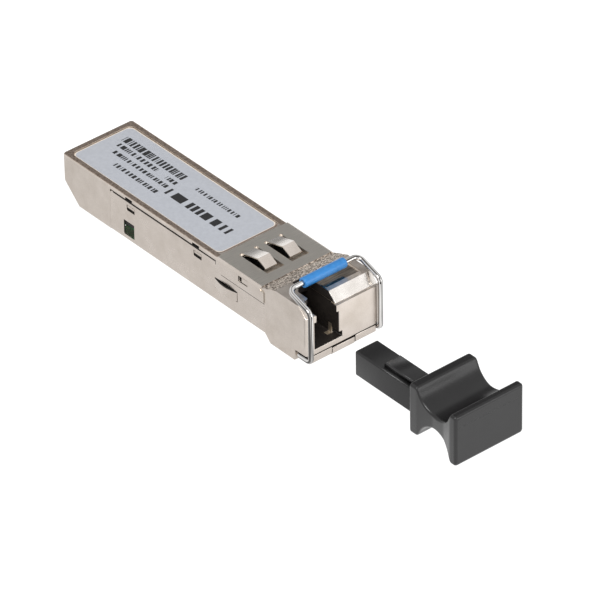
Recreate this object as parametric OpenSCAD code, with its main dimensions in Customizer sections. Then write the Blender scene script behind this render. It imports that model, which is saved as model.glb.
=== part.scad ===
// Pluggable optical transceiver module with one fibre port, a wire bail latch and its dust plug.
// Millimetres. X runs across the module, Y from the port to the card edge, Z up.
// Each piece is drawn with Y measured from the front face, then moved so that the origin
// lies on the underside, half way along the body.

/* [Body] */
// Width of the part of the body that slides into the cage
body_w = 13.4; // [13:0.1:14]
// Height of that part, from the underside to the rim round the label
body_h = 8.5; // [8.3:0.1:8.9]
// Length from the front face to the rear end
body_l = 55.4; // [53:0.2:62]
// Thickness of the cast top over the electronics
top_t = 0.9; // [0.8:0.1:1.1]
// Thickness of the cast side walls
wall_t = 0.9; // [0.7:0.1:1.0]
// Radius of the long upper edges
edge_r = 0.35; // [0.2:0.05:0.4]
// Height of the lip that covers the shell's upper edge
lip_h = 0.5; // [0.4:0.05:0.6]
// Length of the dark gaps under the lip, over the snap windows
notch_l = 1.5; // [1.2:0.1:1.8]
// Height of those gaps
notch_h = 0.35; // [0.2:0.05:0.4]

/* [Rear end] */
// Lower edge of the rear skirts
skirt_z = 1.0; // [0.8:0.1:1.4]
// Height at which the rear end starts to slant
slant_z = 4.5; // [4:0.1:5]
// Length of the slanted part
slant_l = 3.7; // [3:0.1:4.5]
// Radius of the upright corners at the rear
tail_r = 0.7; // [0.5:0.05:0.8]

/* [Label] */
// Border on each side of the recess for the label
label_rim = 1.05; // [0.9:0.05:1.4]
// Depth of the recess
label_depth = 0.3; // [0.2:0.05:0.4]
// Plain border between the recess and the rear end
label_border = 0.8; // [0.6:0.1:1.5]
// Plain border between the recess and the collar
label_gap = 0.5; // [0.4:0.1:0.8]
// Corner radius of the recess
label_r = 1.0; // [0.5:0.1:1.5]
// Thickness of the label film
label_t = 0.1; // [0.05:0.01:0.15]
// Gap between the label and the edge of its recess
label_play = 0.1; // [0.05:0.05:0.2]

/* [Nose] */
// How far the nose stands out beyond the body on each side
nose_swell = 0.05; // [0:0.01:0.1]
// Length of the nose, to the front edge of the shell
nose_l = 9.4; // [9.2:0.1:10]
// Height of the nose's flat top
nose_top = 9.8; // [9.5:0.1:10.2]
// Level of the nose's belly
nose_floor = -0.2; // [-0.3:0.05:-0.1]
// Radius of the upright corners at the front
nose_corner = 0.7; // [0.5:0.05:0.8]
// Length from the front face to the top of the ramp
ramp_l = 1.9; // [1.6:0.1:2.2]
// Height of the flat front face
face_z = 8.3; // [8.2:0.1:8.6]
// Length of the shelf at the foot of the ramp
face_shelf = 0.5; // [0.3:0.1:0.8]
// Length of the slope behind the flat top, as far as the shell
crest_l = 2.4; // [2:0.1:2.8]
// Height of the seam between the nose and its lower cover
seam_z = 1.65; // [1.55:0.05:1.8]
// Width of the flat rim in front of the sleeve's seat
rim_l = 0.85; // [0.6:0.05:1.1]
// Depth of the sleeve's seat behind the rim
seat_depth = 0.25; // [0.15:0.05:0.35]

/* [Port] */
// Thickness of the cast wall beside the port
port_side = 1.325; // [1.2:0.025:1.5]
// Height of the port's axis
port_z = 4.88; // [4.8:0.02:5]
// Width and height of the port
port_s = 4.5; // [4.4:0.02:4.6]
// Depth of the port
port_l = 12.4; // [12.2:0.1:12.8]
// Width of the slot over the port for the connector's latch
latch_slot_w = 3.65; // [3.4:0.05:3.8]
// Thickness of the lintel over the mouth of the port
lintel_t = 1.3; // [1.1:0.1:1.5]
// Height of the step beside the port's floor
step_h = 0.9; // [0.5:0.05:1]
// Width of that step
step_w = 0.6; // [0.4:0.05:0.7]
// Depth of that step
step_l = 1.6; // [1.2:0.1:2]
// Width of the tongue over the port, on its outer side
tongue_w = 0.85; // [0.7:0.05:1]
// Distance from the front face to the tongue's round end
tongue_y = 2.3; // [2.1:0.1:2.8]
// Thickness of the tongue
tongue_t = 0.9; // [0.7:0.1:1.1]

/* [Shell] */
// Thickness of the shell's sheet metal
shell_t = 0.3; // [0.25:0.05:0.35]
// Distance of the shell's rear edge from the rear end
shell_rear = 11.1; // [10.8:0.1:12]
// Chamfer along the shell's lower corners
shell_chamfer = 1.1; // [0.9:0.1:1.2]
// Gap between the shell and the cast walls inside it
shell_gap = 0.02; // [0.01:0.01:0.05]
// Gap between the shell's upper edge and the lip
lip_gap = 0.12; // [0.05:0.01:0.15]
// Radius of the shell's upper rear corners
shell_corner = 0.6; // [0.3:0.1:0.9]
// Length of the small snap windows
snap_l = 1.8; // [1.6:0.1:2]
// Height of the small snap windows
snap_h = 1.0; // [0.8:0.1:1.1]
// Distance from the top of the body down to the lower edge of the snap windows
snap_drop = 2.3; // [2.1:0.1:2.4]
// Play of a snap boss in its window
snap_play = 0.1; // [0.05:0.05:0.2]
// Positions of the snap windows, from the rear end
snap_from_rear = [15.8, 31.0];
// Length of the large lower window
window_l = 2.4; // [2:0.1:2.6]
// Height of the large lower window
window_h = 2.5; // [2:0.1:2.7]
// Lower edge of the large window
window_z = 1.7; // [1.5:0.1:2]
// Distance of the large window's middle from the rear end
window_from_rear = 15.3; // [14.6:0.1:16]

/* [Side spring] */
// Distance from the shell's front edge to the free end of the spring finger on each side
side_spring_y = 6.2; // [5.8:0.1:7]
// Length of the finger
side_spring_l = 5.0; // [4.5:0.1:5.5]
// Width of the finger
side_spring_w = 1.5; // [1.3:0.1:1.7]
// Height of the finger's middle
side_spring_z = 4.0; // [3.7:0.1:4.3]
// How far the finger bows out
side_spring_bow = 0.45; // [0.3:0.05:0.6]
// How far its free end stands out
side_spring_tip = 0.05; // [0.02:0.01:0.1]
// Gap beside the finger
side_spring_gap = 0.15; // [0.1:0.05:0.25]
// Gap in front of the finger's free end
side_spring_lead = 0.06; // [0.04:0.01:0.15]

/* [Collar] */
// Thickness of the grounding collar
collar_t = 0.2; // [0.15:0.05:0.25]
// Distance from the nose to the front edge of the collar
collar_gap = 0.8; // [0.6:0.1:1]
// Length of the collar
collar_l = 9.8; // [9.5:0.1:10.2]
// Depth of the collar's side wings
wing_h = 2.2; // [2:0.1:2.5]
// Bevel at the lower rear corner of each wing
wing_bevel = 1.2; // [0.8:0.1:1.5]
// Distance from the collar's front edge to its side windows
catch_y = 2.8; // [2.6:0.1:3]
// Length of a side window
catch_l = 2.0; // [1.8:0.1:2.2]
// Height of a side window
catch_h = 1.0; // [0.8:0.1:1.1]
// Distance from the top of the body down to the lower edge of a side window
catch_drop = 1.25; // [1.2:0.05:1.3]
// Distance of each top finger from the middle
finger_x = 2.3; // [2.2:0.05:2.5]
// Width of a finger
finger_w = 2.15; // [1.9:0.05:2.3]
// Width of the window round a finger
finger_window_w = 3.2; // [3:0.1:3.4]
// Distance from the collar's front edge to a finger's root
finger_root = 7.9; // [7.6:0.1:8.2]
// Distance from the collar's front edge to a finger's ridge
finger_ridge = 4.6; // [4.3:0.1:4.9]
// Distance from the collar's front edge to a finger's free end
finger_end = 2.9; // [2.7:0.1:3.1]
// Rise of the ridge above the collar
finger_rise = 0.95; // [0.7:0.05:1.1]
// Distance from the collar's front edge to the finger windows
finger_window_y = 1.9; // [1.7:0.1:2.2]
// Depth of the pockets in the housing under the fingers
finger_pocket = 0.4; // [0.3:0.05:0.5]
// Radius of the relief holes beside each root
relief_r = 0.3; // [0.2:0.05:0.35]

/* [Bail] */
// Diameter of the bail's wire
wire_d = 0.8; // [0.7:0.05:0.9]
// Radius of its bends, to the wire's middle
bend_r = 1.1; // [0.9:0.1:1.3]
// Radius of the bend at the foot of each leg
foot_r = 0.8; // [0.6:0.1:1]
// Gap between the lower runs of the wire and the lower cover
leg_gap = 0.05; // [0.03:0.01:0.1]
// Radius of the bend into each pivot
pivot_bend_r = 0.5; // [0.45:0.01:0.5]
// Distance of the pivot from the front face
pivot_y = 2.3; // [2.2:0.05:2.35]
// Height of the pivot
pivot_z = 1.05; // [1:0.01:1.1]
// Gap between the upright legs and the front face
leg_play = 0.05; // [0.03:0.01:0.2]
// Height of the knee where the legs lean back
knee_z = 9.6; // [9.3:0.1:9.9]
// Distance of the crossbar from the front face
bar_y = 4.3; // [4:0.1:4.6]
// Height of the crossbar
bar_z = 11.2; // [11.1:0.1:11.5]
// Length of each pivot stub inside the lower cover
stub_l = 1.2; // [1:0.1:1.3]
// Clearance round a pivot stub
stub_gap = 0.04; // [0.02:0.01:0.06]
// Diameter of the coloured sleeve
sleeve_d = 1.6; // [1.4:0.05:1.8]
// Length of the coloured sleeve
sleeve_l = 7.8; // [7:0.1:8.6]
// Clearance of the sleeve on the wire
sleeve_gap = 0.01; // [0.01:0.01:0.05]

/* [Lower cover] */
// Width of the cover between the wire's lower runs, less than the nose's on each side
cover_inset = 0.7; // [0.65:0.01:0.75]
// Length of the cover's part in front of the nose's belly
cover_step = 2.9; // [2.85:0.05:3.1]
// How much narrower the cover's rear part is than the nose, on each side
cover_rim = 1.75; // [1.6:0.05:2]
// Gap between the cover and the nose
cover_gap = 0.05; // [0.03:0.01:0.08]
// Level of the underside of the cover's front part
cover_z = 0.1; // [0:0.05:0.2]
// Thickness of the cover's roof over the lever
roof_t = 0.25; // [0.2:0.01:0.3]

/* [Latch] */
// Width of the latch lever
lever_w = 4.14; // [3.8:0.02:4.3]
// Gap between the lever and the cover on each side
lever_gap = 0.1; // [0.08:0.01:0.14]
// Thickness of the lever's arm
lever_t = 0.8; // [0.75:0.01:0.85]
// Height of the lever's front tab
tab_h = 1.35; // [1.25:0.05:1.5]
// Length of the front tab
tab_l = 2.2; // [2:0.1:2.4]
// Distance of the lever's pin from the front face
pin_y = 5.2; // [5:0.1:5.6]
// Height of the lever's pin
pin_z = 0.55; // [0.5:0.01:0.6]
// Diameter of the pin
pin_d = 0.6; // [0.5:0.05:0.65]
// Clearance round the pin
pin_gap = 0.04; // [0.02:0.01:0.06]
// Thickness of the lever's hub round the pin
hub_t = 0.35; // [0.3:0.01:0.4]
// Distance from the shell's front edge to the shoulder of the latch boss
shoulder_gap = 1.0; // [0.8:0.1:1.2]
// Height of the boss
boss_h = 0.45; // [0.4:0.05:0.5]
// Length of the boss
boss_l = 2.6; // [2.2:0.1:2.8]
// Width of the boss
boss_w = 2.6; // [2.2:0.1:2.8]
// Flat length of the boss behind its shoulder
boss_flat = 0.5; // [0.4:0.1:0.7]
// Length of the lever behind the boss
lever_tail = 0.3; // [0.2:0.05:0.5]
// Width of the leaf spring
leaf_w = 1.6; // [1.4:0.1:2]
// Thickness of the leaf spring
leaf_t = 0.1; // [0.08:0.01:0.12]

/* [Optics] */
// Diameter of the receptacle's barrel
barrel_d = 2.95; // [2.9:0.01:3]
// Distance from the front face to the barrel's front end
barrel_front = 5.0; // [4.8:0.1:5.4]
// Gap between the barrel and the port's end wall
barrel_gap = 0.05; // [0.02:0.01:0.1]
// Thickness of the port's end wall
end_wall_t = 0.8; // [0.7:0.1:1]
// Rim of the receptacle's flange round the barrel
flange_rim = 0.5; // [0.4:0.05:0.6]
// Thickness of that flange
flange_l = 0.9; // [0.7:0.1:1]
// Bore for the connector's ferrule
ferrule_d = 1.26; // [1.25:0.002:1.27]
// Length of the ceramic sleeve round the ferrule
ferrule_l = 3.0; // [2.6:0.1:3.2]
// Wall of the ceramic sleeve
ceramic_t = 0.2; // [0.15:0.01:0.22]
// Width of the slit along the ceramic sleeve
slit_w = 0.24; // [0.2:0.02:0.3]
// Gap between the ceramic pieces and the receptacle
ceramic_gap = 0.02; // [0.01:0.01:0.04]
// Depth of the ceramic sleeve behind the barrel's front end
ceramic_set = 0.5; // [0.4:0.1:0.8]
// Length of the fibre stub
stub_core_l = 2.4; // [2:0.1:2.6]
// Length of the optical block
block_l = 5.0; // [4.8:0.1:5.2]
// Play between the block and a square the size of the port
block_play = 0.1; // [0.1:0.05:0.2]
// Radius of the passages for the light in the block
light_r = 0.8; // [0.6:0.05:0.9]
// Diameter of the laser and receiver cans
can_d = 4.0; // [3.8:0.1:4.2]
// Length of the laser can
laser_l = 2.4; // [2.2:0.1:2.5]
// Length of the receiver can
receiver_l = 2.2; // [2:0.1:2.3]
// Thickness of a can's header
header_t = 0.6; // [0.5:0.05:0.7]
// Step between a can's cap and its header
header_rim = 0.35; // [0.3:0.01:0.4]
// Radius of the ring of leads
lead_ring = 0.9; // [0.8:0.05:1]
// Radius of a lead
lead_r = 0.2; // [0.15:0.01:0.22]
// Length of a lead
lead_l = 1.0; // [0.9:0.1:1.2]
// Thickness of the flexible strips
flex_t = 0.12; // [0.1:0.01:0.15]
// Width of the flexible strips
flex_w = 3.4; // [3:0.1:3.6]
// Clearance of a lead in its strip
lead_gap = 0.05; // [0.03:0.01:0.08]
// Gap between a header and its strip
flex_gap = 0.4; // [0.3:0.05:0.5]

/* [Circuit board] */
// Thickness of the board
pcb_t = 1.0; // [0.9:0.05:1.1]
// Height of its underside
pcb_z = 2.25; // [2.1:0.05:2.3]
// Gap between the board and the inside of the shell
pcb_gap = 0.68; // [0.5:0.02:0.8]
// Width of the board's plug-in edge
pcb_edge_w = 9.2; // [9.1:0.05:9.3]
// Distance from the front face to the board
pcb_y = 26; // [25.5:0.1:27]
// Distance of the plug-in edge from the rear end
pcb_from_rear = 3.2; // [3:0.1:3.6]
// Length of the plug-in edge
pcb_edge_l = 7.0; // [6.5:0.1:7.5]
// Bevel on the plug-in edge
pcb_bevel = 0.25; // [0.2:0.05:0.3]
// Number of contacts on each side
contact_n = 10; // [8:1:10]
// Pitch of the contacts
contact_pitch = 0.8; // [0.75:0.01:0.82]
// Width of a contact
contact_w = 0.6; // [0.5:0.01:0.65]
// Length of a contact
contact_l = 3.4; // [3:0.1:4]
// Thickness of a contact
contact_t = 0.04; // [0.03:0.01:0.05]
// Distance of the contacts from the plug-in edge
contact_gap = 0.7; // [0.6:0.1:1]
// Height of the larger chips
chip_h = 0.9; // [0.8:0.05:1]
// Side of the driver chip
driver_s = 4; // [3.6:0.1:4.2]
// Side of the controller chip
controller_s = 5; // [4.6:0.1:5.2]
// Width of the memory chip
memory_w = 2; // [1.8:0.1:2.2]
// Length of the memory chip
memory_l = 3; // [2.8:0.1:3.2]
// Length of a capacitor or resistor
passive_l = 1.0; // [0.8:0.05:1.1]
// Width and height of a capacitor or resistor
passive_w = 0.5; // [0.4:0.05:0.55]
// Pitch of the capacitors and resistors in a row
passive_pitch = 0.95; // [0.9:0.05:1]

/* [Dust plug] */
// Distance of the plug's flange in front of the module, as it lies in the photograph
plug_out = 20.5; // [20.3:0.1:24]
// Play of the shank in the port, all round
shank_play = 0.15; // [0.1:0.01:0.25]
// Length of the shank
shank_l = 12.0; // [11:0.1:12.1]
// Chamfer round the shank's tip
shank_chamfer = 0.3; // [0.2:0.05:0.4]
// Play of the receptacle's barrel in the hole of the shank
bore_play = 0.175; // [0.15:0.005:0.25]
// Depth of that hole
shank_bore_l = 8.0; // [7.7:0.1:9]
// Width of the raised rib on the shank
rib_w = 2.3; // [2:0.05:2.5]
// Height of the rib
rib_h = 0.8; // [0.6:0.05:0.9]
// Distance of the rib from the shank's tip
rib_from_tip = 5.6; // [5.6:0.1:7]
// Width of the grip at its flange
flange_w = 11.3; // [11:0.1:11.6]
// Width of the grip at its front plate
plate_w = 12.7; // [12.2:0.1:13]
// Height of the grip
grip_h = 8.4; // [8:0.1:8.6]
// Length of the grip
grip_l = 10.7; // [10.4:0.1:11.5]
// How far the grip's middle lies below the shank's axis
grip_drop = 0.88; // [0.6:0.02:1]
// Thickness of the flange
flange_t = 1.7; // [1.4:0.1:2]
// Thickness of the front plate
plate_t = 1.3; // [1.1:0.1:1.6]
// Depth of the finger saddles above and below
saddle_depth = 3.0; // [2.8:0.1:3.1]
// How much the grip narrows behind its flange, on each side
waist = 0.2; // [0.1:0.05:0.3]

/* [Hidden] */
$fn = 48;
eps = 0.01;
cut = 1;

half_w = body_w / 2;
nose_w = body_w + 2 * nose_swell;
inner_w = body_w - 2 * (shell_t + shell_gap);
bay_w = inner_w - 2 * wall_t;
shell_y1 = body_l - shell_rear;
shell_top = body_h - lip_h - lip_gap;
snap_z = body_h - snap_drop;
catch_z = body_h - catch_drop;
pcb_top = pcb_z + pcb_t;
pcb_y1 = body_l - pcb_from_rear;
pcb_w = inner_w - 2 * pcb_gap;
crest_y = nose_l - crest_l;
collar_y0 = nose_l + collar_gap;
collar_y1 = collar_y0 + collar_l;
label_w = body_w - 2 * label_rim;
label_y0 = collar_y1 + label_gap;
label_y1 = body_l - label_border;
port_x = half_w - port_side - port_s / 2;
port_x0 = -port_x - port_s / 2;
port_x1 = -port_x + port_s / 2;
port_z0 = port_z - port_s / 2;
port_z1 = port_z + port_s / 2;
crest_sill = 0.1;
port_open_l = crest_y - crest_sill;
bay_y0 = port_l + end_wall_t;
bay_top = port_z1;
shoulder_y = nose_l + shoulder_gap;
cover_w = nose_w - 2 * cover_rim;
cover_front_w = nose_w - 2 * cover_inset;
channel_w = lever_w + 2 * lever_gap;
lever_end = shoulder_y + boss_l + lever_tail;
wire_r = wire_d / 2;
leg_x = cover_front_w / 2 + leg_gap + wire_r;
leg_y = -wire_r - leg_play;
grip_z = port_z - grip_drop;
shank_s = port_s - 2 * shank_play;
barrel_r = barrel_d / 2;
ceramic_r = ferrule_d / 2 + ceramic_t;
block_y0 = bay_y0 + flange_l;
block_y1 = block_y0 + block_l;
block_s = port_s - 2 * block_play;
laser_back = block_y1 + laser_l;
receiver_back = -port_x + block_s / 2 + receiver_l;

// where the grip is narrowest and where it starts to flare, as shares of its length
waist_at = 0.45;
flare_at = 0.7;

// small offsets shared by several pieces
belly_slope = 1.2;
floor_t = 0.85;
sill = 0.25;
pip_x = 2.45;
pip_r = 0.35;
pip_h = 0.15;
seat_wall = 0.5;
catch_set = 0.05;
notch_shift = 0.4;
chin = 0.4;
pivot_end = 0.15;
pin_end = 0.65;
leaf_gap = 0.02;
leaf_set = 1;
flex_drop = 0.6;
dimple_r = 0.4;
dimple_set = 0.2;
flex_pad = 2.2;
chip_gap = 0.8;
chip_edge = 0.95;
chip_lead = 0.3;
roof_z = seam_z - cover_gap - roof_t;
stub_y0 = barrel_front + ceramic_set + ferrule_l;
driver_x = -pcb_w / 2 + chip_edge;
driver_y = pcb_y + flex_pad + chip_gap;
controller_y = driver_y + driver_s + 2 * chip_gap;

// ---- helpers ----

// Moves a piece from the front face's coordinates to the origin on the underside
module placed() translate([0, -body_l / 2, 0]) children();

// A box between two corners
module box(lo, hi) translate(lo) cube(hi - lo);

// A YZ outline, given as (y, z), drawn from x0 to x1
module along_x(x0, x1) translate([x0, 0, 0]) rotate([90, 0, 90]) linear_extrude(x1 - x0) children();

// An XZ outline, given as (x, z), drawn from y0 to y1
module along_y(y0, y1) translate([0, y1, 0]) rotate([90, 0, 0]) linear_extrude(y1 - y0) children();

// The same on both sides of the middle
module both_sides() {
    children();
    mirror([1, 0, 0]) children();
}

// A rod of radius r along Y from y0 to y1
module rod_y(x, z, r, y0, y1) translate([x, y1, z]) rotate([90, 0, 0]) cylinder(r = r, h = y1 - y0);

// A rod of radius r along X from x0 to x1
module rod_x(y, z, r, x0, x1) translate([x0, y, z]) rotate([0, 90, 0]) cylinder(r = r, h = x1 - x0);

// A flat rectangle with round corners, centred in x, from y0 to y1
module round_rect(w, y0, y1, r) {
    translate([-w / 2 + r, y0]) square([w - 2 * r, y1 - y0]);
    translate([-w / 2, y0 + r]) square([w, y1 - y0 - 2 * r]);
    for (x = [-w / 2 + r, w / 2 - r], y = [y0 + r, y1 - r]) translate([x, y]) circle(r);
}

// An outline w wide between z0 and z1 whose two upper corners are round
module round_topped(w, z0, z1, r)
    intersection() {
        translate([-w / 2, z0]) square([w, z1 - z0]);
        union() {
            translate([-w / 2, z0 - r]) square([w, z1 - z0]);
            translate([-w / 2 + r, z0]) square([w - 2 * r, z1 - z0]);
            for (x = [-w / 2 + r, w / 2 - r]) translate([x, z1 - r]) circle(r);
        }
    }

// ---- die-cast body ----

// Long cover: top plate, lip over the shell and the walls that stand inside the shell
module long_cover() {
    along_y(nose_l, body_l) round_topped(body_w, body_h - lip_h, body_h, edge_r);
    box([-inner_w / 2, nose_l, bay_top - eps], [inner_w / 2, body_l, body_h - lip_h + eps]);
    both_sides()
        box([bay_w / 2, nose_l, pcb_top], [inner_w / 2, shell_y1, bay_top + eps]);
}

// Full-height skirt on each side of the rear end, slanted towards the card edge
module rear_skirts()
    both_sides() along_x(half_w - wall_t, half_w)
        polygon([[shell_y1, skirt_z], [body_l - slant_l, skirt_z], [body_l, slant_z],
                 [body_l, body_h - edge_r], [shell_y1, body_h - edge_r]]);

// Plan of the body, its rear corners round
module body_plan() {
    translate([-half_w, nose_l]) square([body_w, body_l - tail_r - nose_l]);
    translate([-half_w + tail_r, nose_l]) square([body_w - 2 * tail_r, body_l - nose_l]);
    for (x = [-half_w + tail_r, half_w - tail_r]) translate([x, body_l - tail_r]) circle(tail_r);
}

// Plan of the nose, its front corners round
module nose_plan() {
    translate([-nose_w / 2, nose_corner]) square([nose_w, nose_l - nose_corner]);
    translate([-nose_w / 2 + nose_corner, 0]) square([nose_w - 2 * nose_corner, nose_l]);
    for (x = [-nose_w / 2 + nose_corner, nose_w / 2 - nose_corner])
        translate([x, nose_corner]) circle(nose_corner);
}

// Height of the slope behind the nose's flat top, at y
function slope_z(y) = nose_top - (nose_top - body_h) * (y - crest_y) / (collar_y0 - crest_y);

// Nose outside the cage: flat face, ramp, flat top and the slope down to the collar
module nose_block() {
    intersection() {
        translate([0, 0, nose_floor]) linear_extrude(nose_top - nose_floor) nose_plan();
        along_x(-nose_w / 2, nose_w / 2)
            polygon([[0, seam_z], [0, face_z], [face_shelf, face_z], [ramp_l, nose_top], [crest_y, nose_top],
                     [nose_l, slope_z(nose_l)], [nose_l, shell_chamfer], [nose_l - belly_slope, nose_floor],
                     [cover_step, nose_floor], [cover_step, seam_z]]);
    }
    along_x(-half_w, half_w)
        polygon([[nose_l - eps, body_h - lip_h], [nose_l - eps, slope_z(nose_l)],
                 [collar_y0, body_h], [collar_y0, body_h - lip_h]]);
}

// Walls round the inner part of the port, behind the nose
module port_walls()
    box([-inner_w / 2, nose_l - eps, port_z0 - floor_t], [inner_w / 2, bay_y0, bay_top + eps]);

// Square port with the step beside its floor, the latch slot and the open top
module port_cut() {
    box([port_x0, -cut, port_z0], [port_x1, port_l, port_z1]);
    box([port_x0, -cut, port_z0], [port_x1 + step_w, step_l, port_z0 + step_h]);
    translate([-port_x, 0, 0]) {
        box([-latch_slot_w / 2, -cut, port_z], [latch_slot_w / 2, port_open_l, nose_top + cut]);
        box([-port_s / 2, lintel_t, port_z], [port_s / 2, port_open_l, face_z]);
        box([-port_s / 2, -cut, face_z], [port_s / 2 - sill, port_open_l, nose_top + cut]);
    }
    rod_y(-port_x, port_z, barrel_r + barrel_gap, port_l - eps, bay_y0 + eps);
}

// Tongue over the port's outer side, with a round front end and a wider root at the rear
module port_tongue()
    translate([port_x0, tongue_y, nose_top - tongue_t]) linear_extrude(tongue_t) {
        tongue_l = port_open_l - tongue_y;
        translate([-eps, tongue_w / 2]) square([tongue_w + eps, tongue_l]);
        translate([-eps, 0]) square([tongue_w / 2 + eps, tongue_l]);
        translate([tongue_w / 2, tongue_w / 2]) circle(tongue_w / 2);
        polygon([[0, tongue_l / 2], [tongue_w, tongue_l / 2], [2 * tongue_w, tongue_l / 2 + tongue_w],
                 [2 * tongue_w, tongue_l + eps], [0, tongue_l + eps]]);
    }

// Small round pip on the slope behind the flat top
module slope_pip() {
    pip_y = crest_y + pip_r + sill;
    translate([-pip_x, pip_y, body_h]) cylinder(r = pip_r, h = slope_z(pip_y) + pip_h - body_h);
}

// Seat that the bail's sleeve drops into, behind the rim of the ramp
module sleeve_seat()
    box([port_x1, ramp_l + rim_l, nose_top - seat_depth],
        [cover_front_w / 2 - seat_wall, crest_y - seat_wall, nose_top + cut]);

// Bosses on the walls and the lip that the shell and the collar snap over
module snap_bosses()
    both_sides() {
        for (d = snap_from_rear)
            box([inner_w / 2 - eps, body_l - d - snap_l / 2 + snap_play, snap_z + snap_h / 2],
                [half_w - catch_set, body_l - d + snap_l / 2 - snap_play, snap_z + snap_h - snap_play]);
        translate([half_w, collar_y0 + catch_y, 0])
            box([-shell_t, snap_play, catch_z + snap_play],
                [collar_t - catch_set, catch_l - 2 * snap_h / 3, catch_z + catch_h - snap_play]);
    }

module housing() color("#d2cac0") placed() difference() {
    union() {
        intersection() {
            union() {
                long_cover();
                rear_skirts();
            }
            linear_extrude(body_h) body_plan();
        }
        nose_block();
        port_walls();
        snap_bosses();
        slope_pip();
    }
    difference() {
        port_cut();
        port_tongue();
    }
    sleeve_seat();
    // recess for the label
    translate([0, 0, body_h - label_depth]) linear_extrude(cut)
        round_rect(label_w, label_y0, label_y1, label_r);
    both_sides() {
        // shallow pockets under the collar's fingers
        box([finger_x - finger_window_w / 2, collar_y0 + finger_window_y, body_h - finger_pocket],
            [finger_x + finger_window_w / 2, collar_y0 + finger_root, body_h + cut]);
        // gaps in the lip, over the snap windows
        for (d = snap_from_rear)
            box([inner_w / 2, body_l - d + notch_shift - notch_l / 2, body_h - lip_h - eps],
                [half_w + cut, body_l - d + notch_shift + notch_l / 2, body_h - lip_h + notch_h]);
    }
    // pocket for the lower cover of the nose
    box([-cover_w / 2, cover_step - eps, nose_floor - cut], [cover_w / 2, nose_l + cut, seam_z]);
    // room over the plug-in edge
    box([-half_w + wall_t, shell_y1, skirt_z - cut], [half_w - wall_t, body_l + cut, body_h - top_t]);
}

// Lower cover of the nose, which holds the bail's pivots and the latch lever
module nose_cover() color("#cdc5bb") placed() difference() {
    union() {
        intersection() {
            translate([0, 0, cover_z]) linear_extrude(seam_z - cover_gap - cover_z) intersection() {
                nose_plan();
                translate([-cover_front_w / 2, 0]) square([cover_front_w, cover_step - cover_gap]);
            }
            along_x(-nose_w / 2, nose_w / 2)
                polygon([[0, cover_z + chin], [0, seam_z], [cover_step, seam_z], [cover_step, cover_z],
                         [chin, cover_z]]);
        }
        box([-cover_w / 2 + cover_gap, cover_step - 2 * cover_gap, nose_floor],
            [cover_w / 2 - cover_gap, nose_l - cover_gap, seam_z - cover_gap]);
    }
    // channel for the lever, open at the front and below
    box([-channel_w / 2, -cut, nose_floor - cut], [channel_w / 2, cover_step, seam_z + cut]);
    box([-channel_w / 2, cover_step - cut, nose_floor - cut], [channel_w / 2, nose_l + cut, roof_z]);
    // pivots of the bail and seats of the lever's pin
    both_sides() {
        rod_x(pivot_y, pivot_z, wire_r + stub_gap, cover_front_w / 2 - stub_l - pivot_end,
              cover_front_w / 2 + cut);
        rod_x(pin_y, pin_z, pin_d / 2, 0, cover_w / 2 - pin_end + cover_gap);
    }
}

// ---- sheet metal ----

// Outline of the shell's face, moved inwards by inset; the inner one runs out at the top
module shell_outline(inset) {
    side = half_w - inset;
    corner = shell_chamfer + inset * tan(22.5);
    top = shell_top + (inset > 0 ? cut : 0);
    polygon([[-side, top], [-side, corner], [-half_w + corner, inset],
             [half_w - corner, inset], [side, corner], [side, top]]);
}

// Finger bowed outwards between its root at the rear and its free front end
module side_spring() {
    steps = 12;
    y0 = nose_l + side_spring_y;
    bow = function(s) side_spring_bow * sin(180 * s) + side_spring_tip * (1 - s);
    outer = [for (i = [0:steps]) let(s = i / steps) [half_w + bow(s), y0 + side_spring_l * s]];
    inner = [for (i = [steps:-1:0]) let(s = i / steps) [half_w - shell_t + bow(s), y0 + side_spring_l * s]];
    root_y = y0 + side_spring_l + side_spring_gap;
    root = [[half_w, root_y], [half_w - shell_t, root_y]];
    translate([0, 0, side_spring_z - side_spring_w / 2])
        linear_extrude(side_spring_w) polygon(concat(outer, root, inner));
}

module bottom_shell() color("#cfcac2") placed() {
    difference() {
        along_y(nose_l, shell_y1) difference() {
            shell_outline(0);
            shell_outline(shell_t);
        }
        // slot for the latch lever
        box([-channel_w / 2, nose_l - cut, -cut], [channel_w / 2, lever_end + lever_tail, shell_t + cut]);
        // rounded upper rear corners
        along_x(-body_w, body_w) translate([shell_y1 - shell_corner, shell_top - shell_corner]) difference() {
            square(shell_corner + cut);
            circle(shell_corner);
        }
        both_sides() {
            for (d = snap_from_rear)
                box([half_w - cut, body_l - d - snap_l / 2, snap_z],
                    [half_w + cut, body_l - d + snap_l / 2, snap_z + snap_h]);
            box([half_w - cut, body_l - window_from_rear - window_l / 2, window_z],
                [half_w + cut, body_l - window_from_rear + window_l / 2, window_z + window_h]);
            // opening round the spring finger
            translate([0, nose_l + side_spring_y, side_spring_z])
                box([half_w - cut, -side_spring_lead, -side_spring_w / 2 - side_spring_gap],
                    [half_w + cut, side_spring_l, side_spring_w / 2 + side_spring_gap]);
            // notch for the housing's boss that holds the collar
            box([half_w - cut, collar_y0 + catch_y, catch_z],
                [half_w + cut, collar_y0 + catch_y + catch_l, body_h]);
        }
    }
    both_sides() side_spring();
}

// One finger of the collar: root at the rear, ridge, and a free end that dips to the surface
module top_finger()
    along_x(finger_x - finger_w / 2, finger_x + finger_w / 2) translate([collar_y0, body_h])
        polygon([[finger_root + eps, 0], [finger_ridge, finger_rise], [finger_end, 0], [finger_end, collar_t],
                 [finger_ridge, finger_rise + collar_t], [finger_root + eps, collar_t]]);

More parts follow.
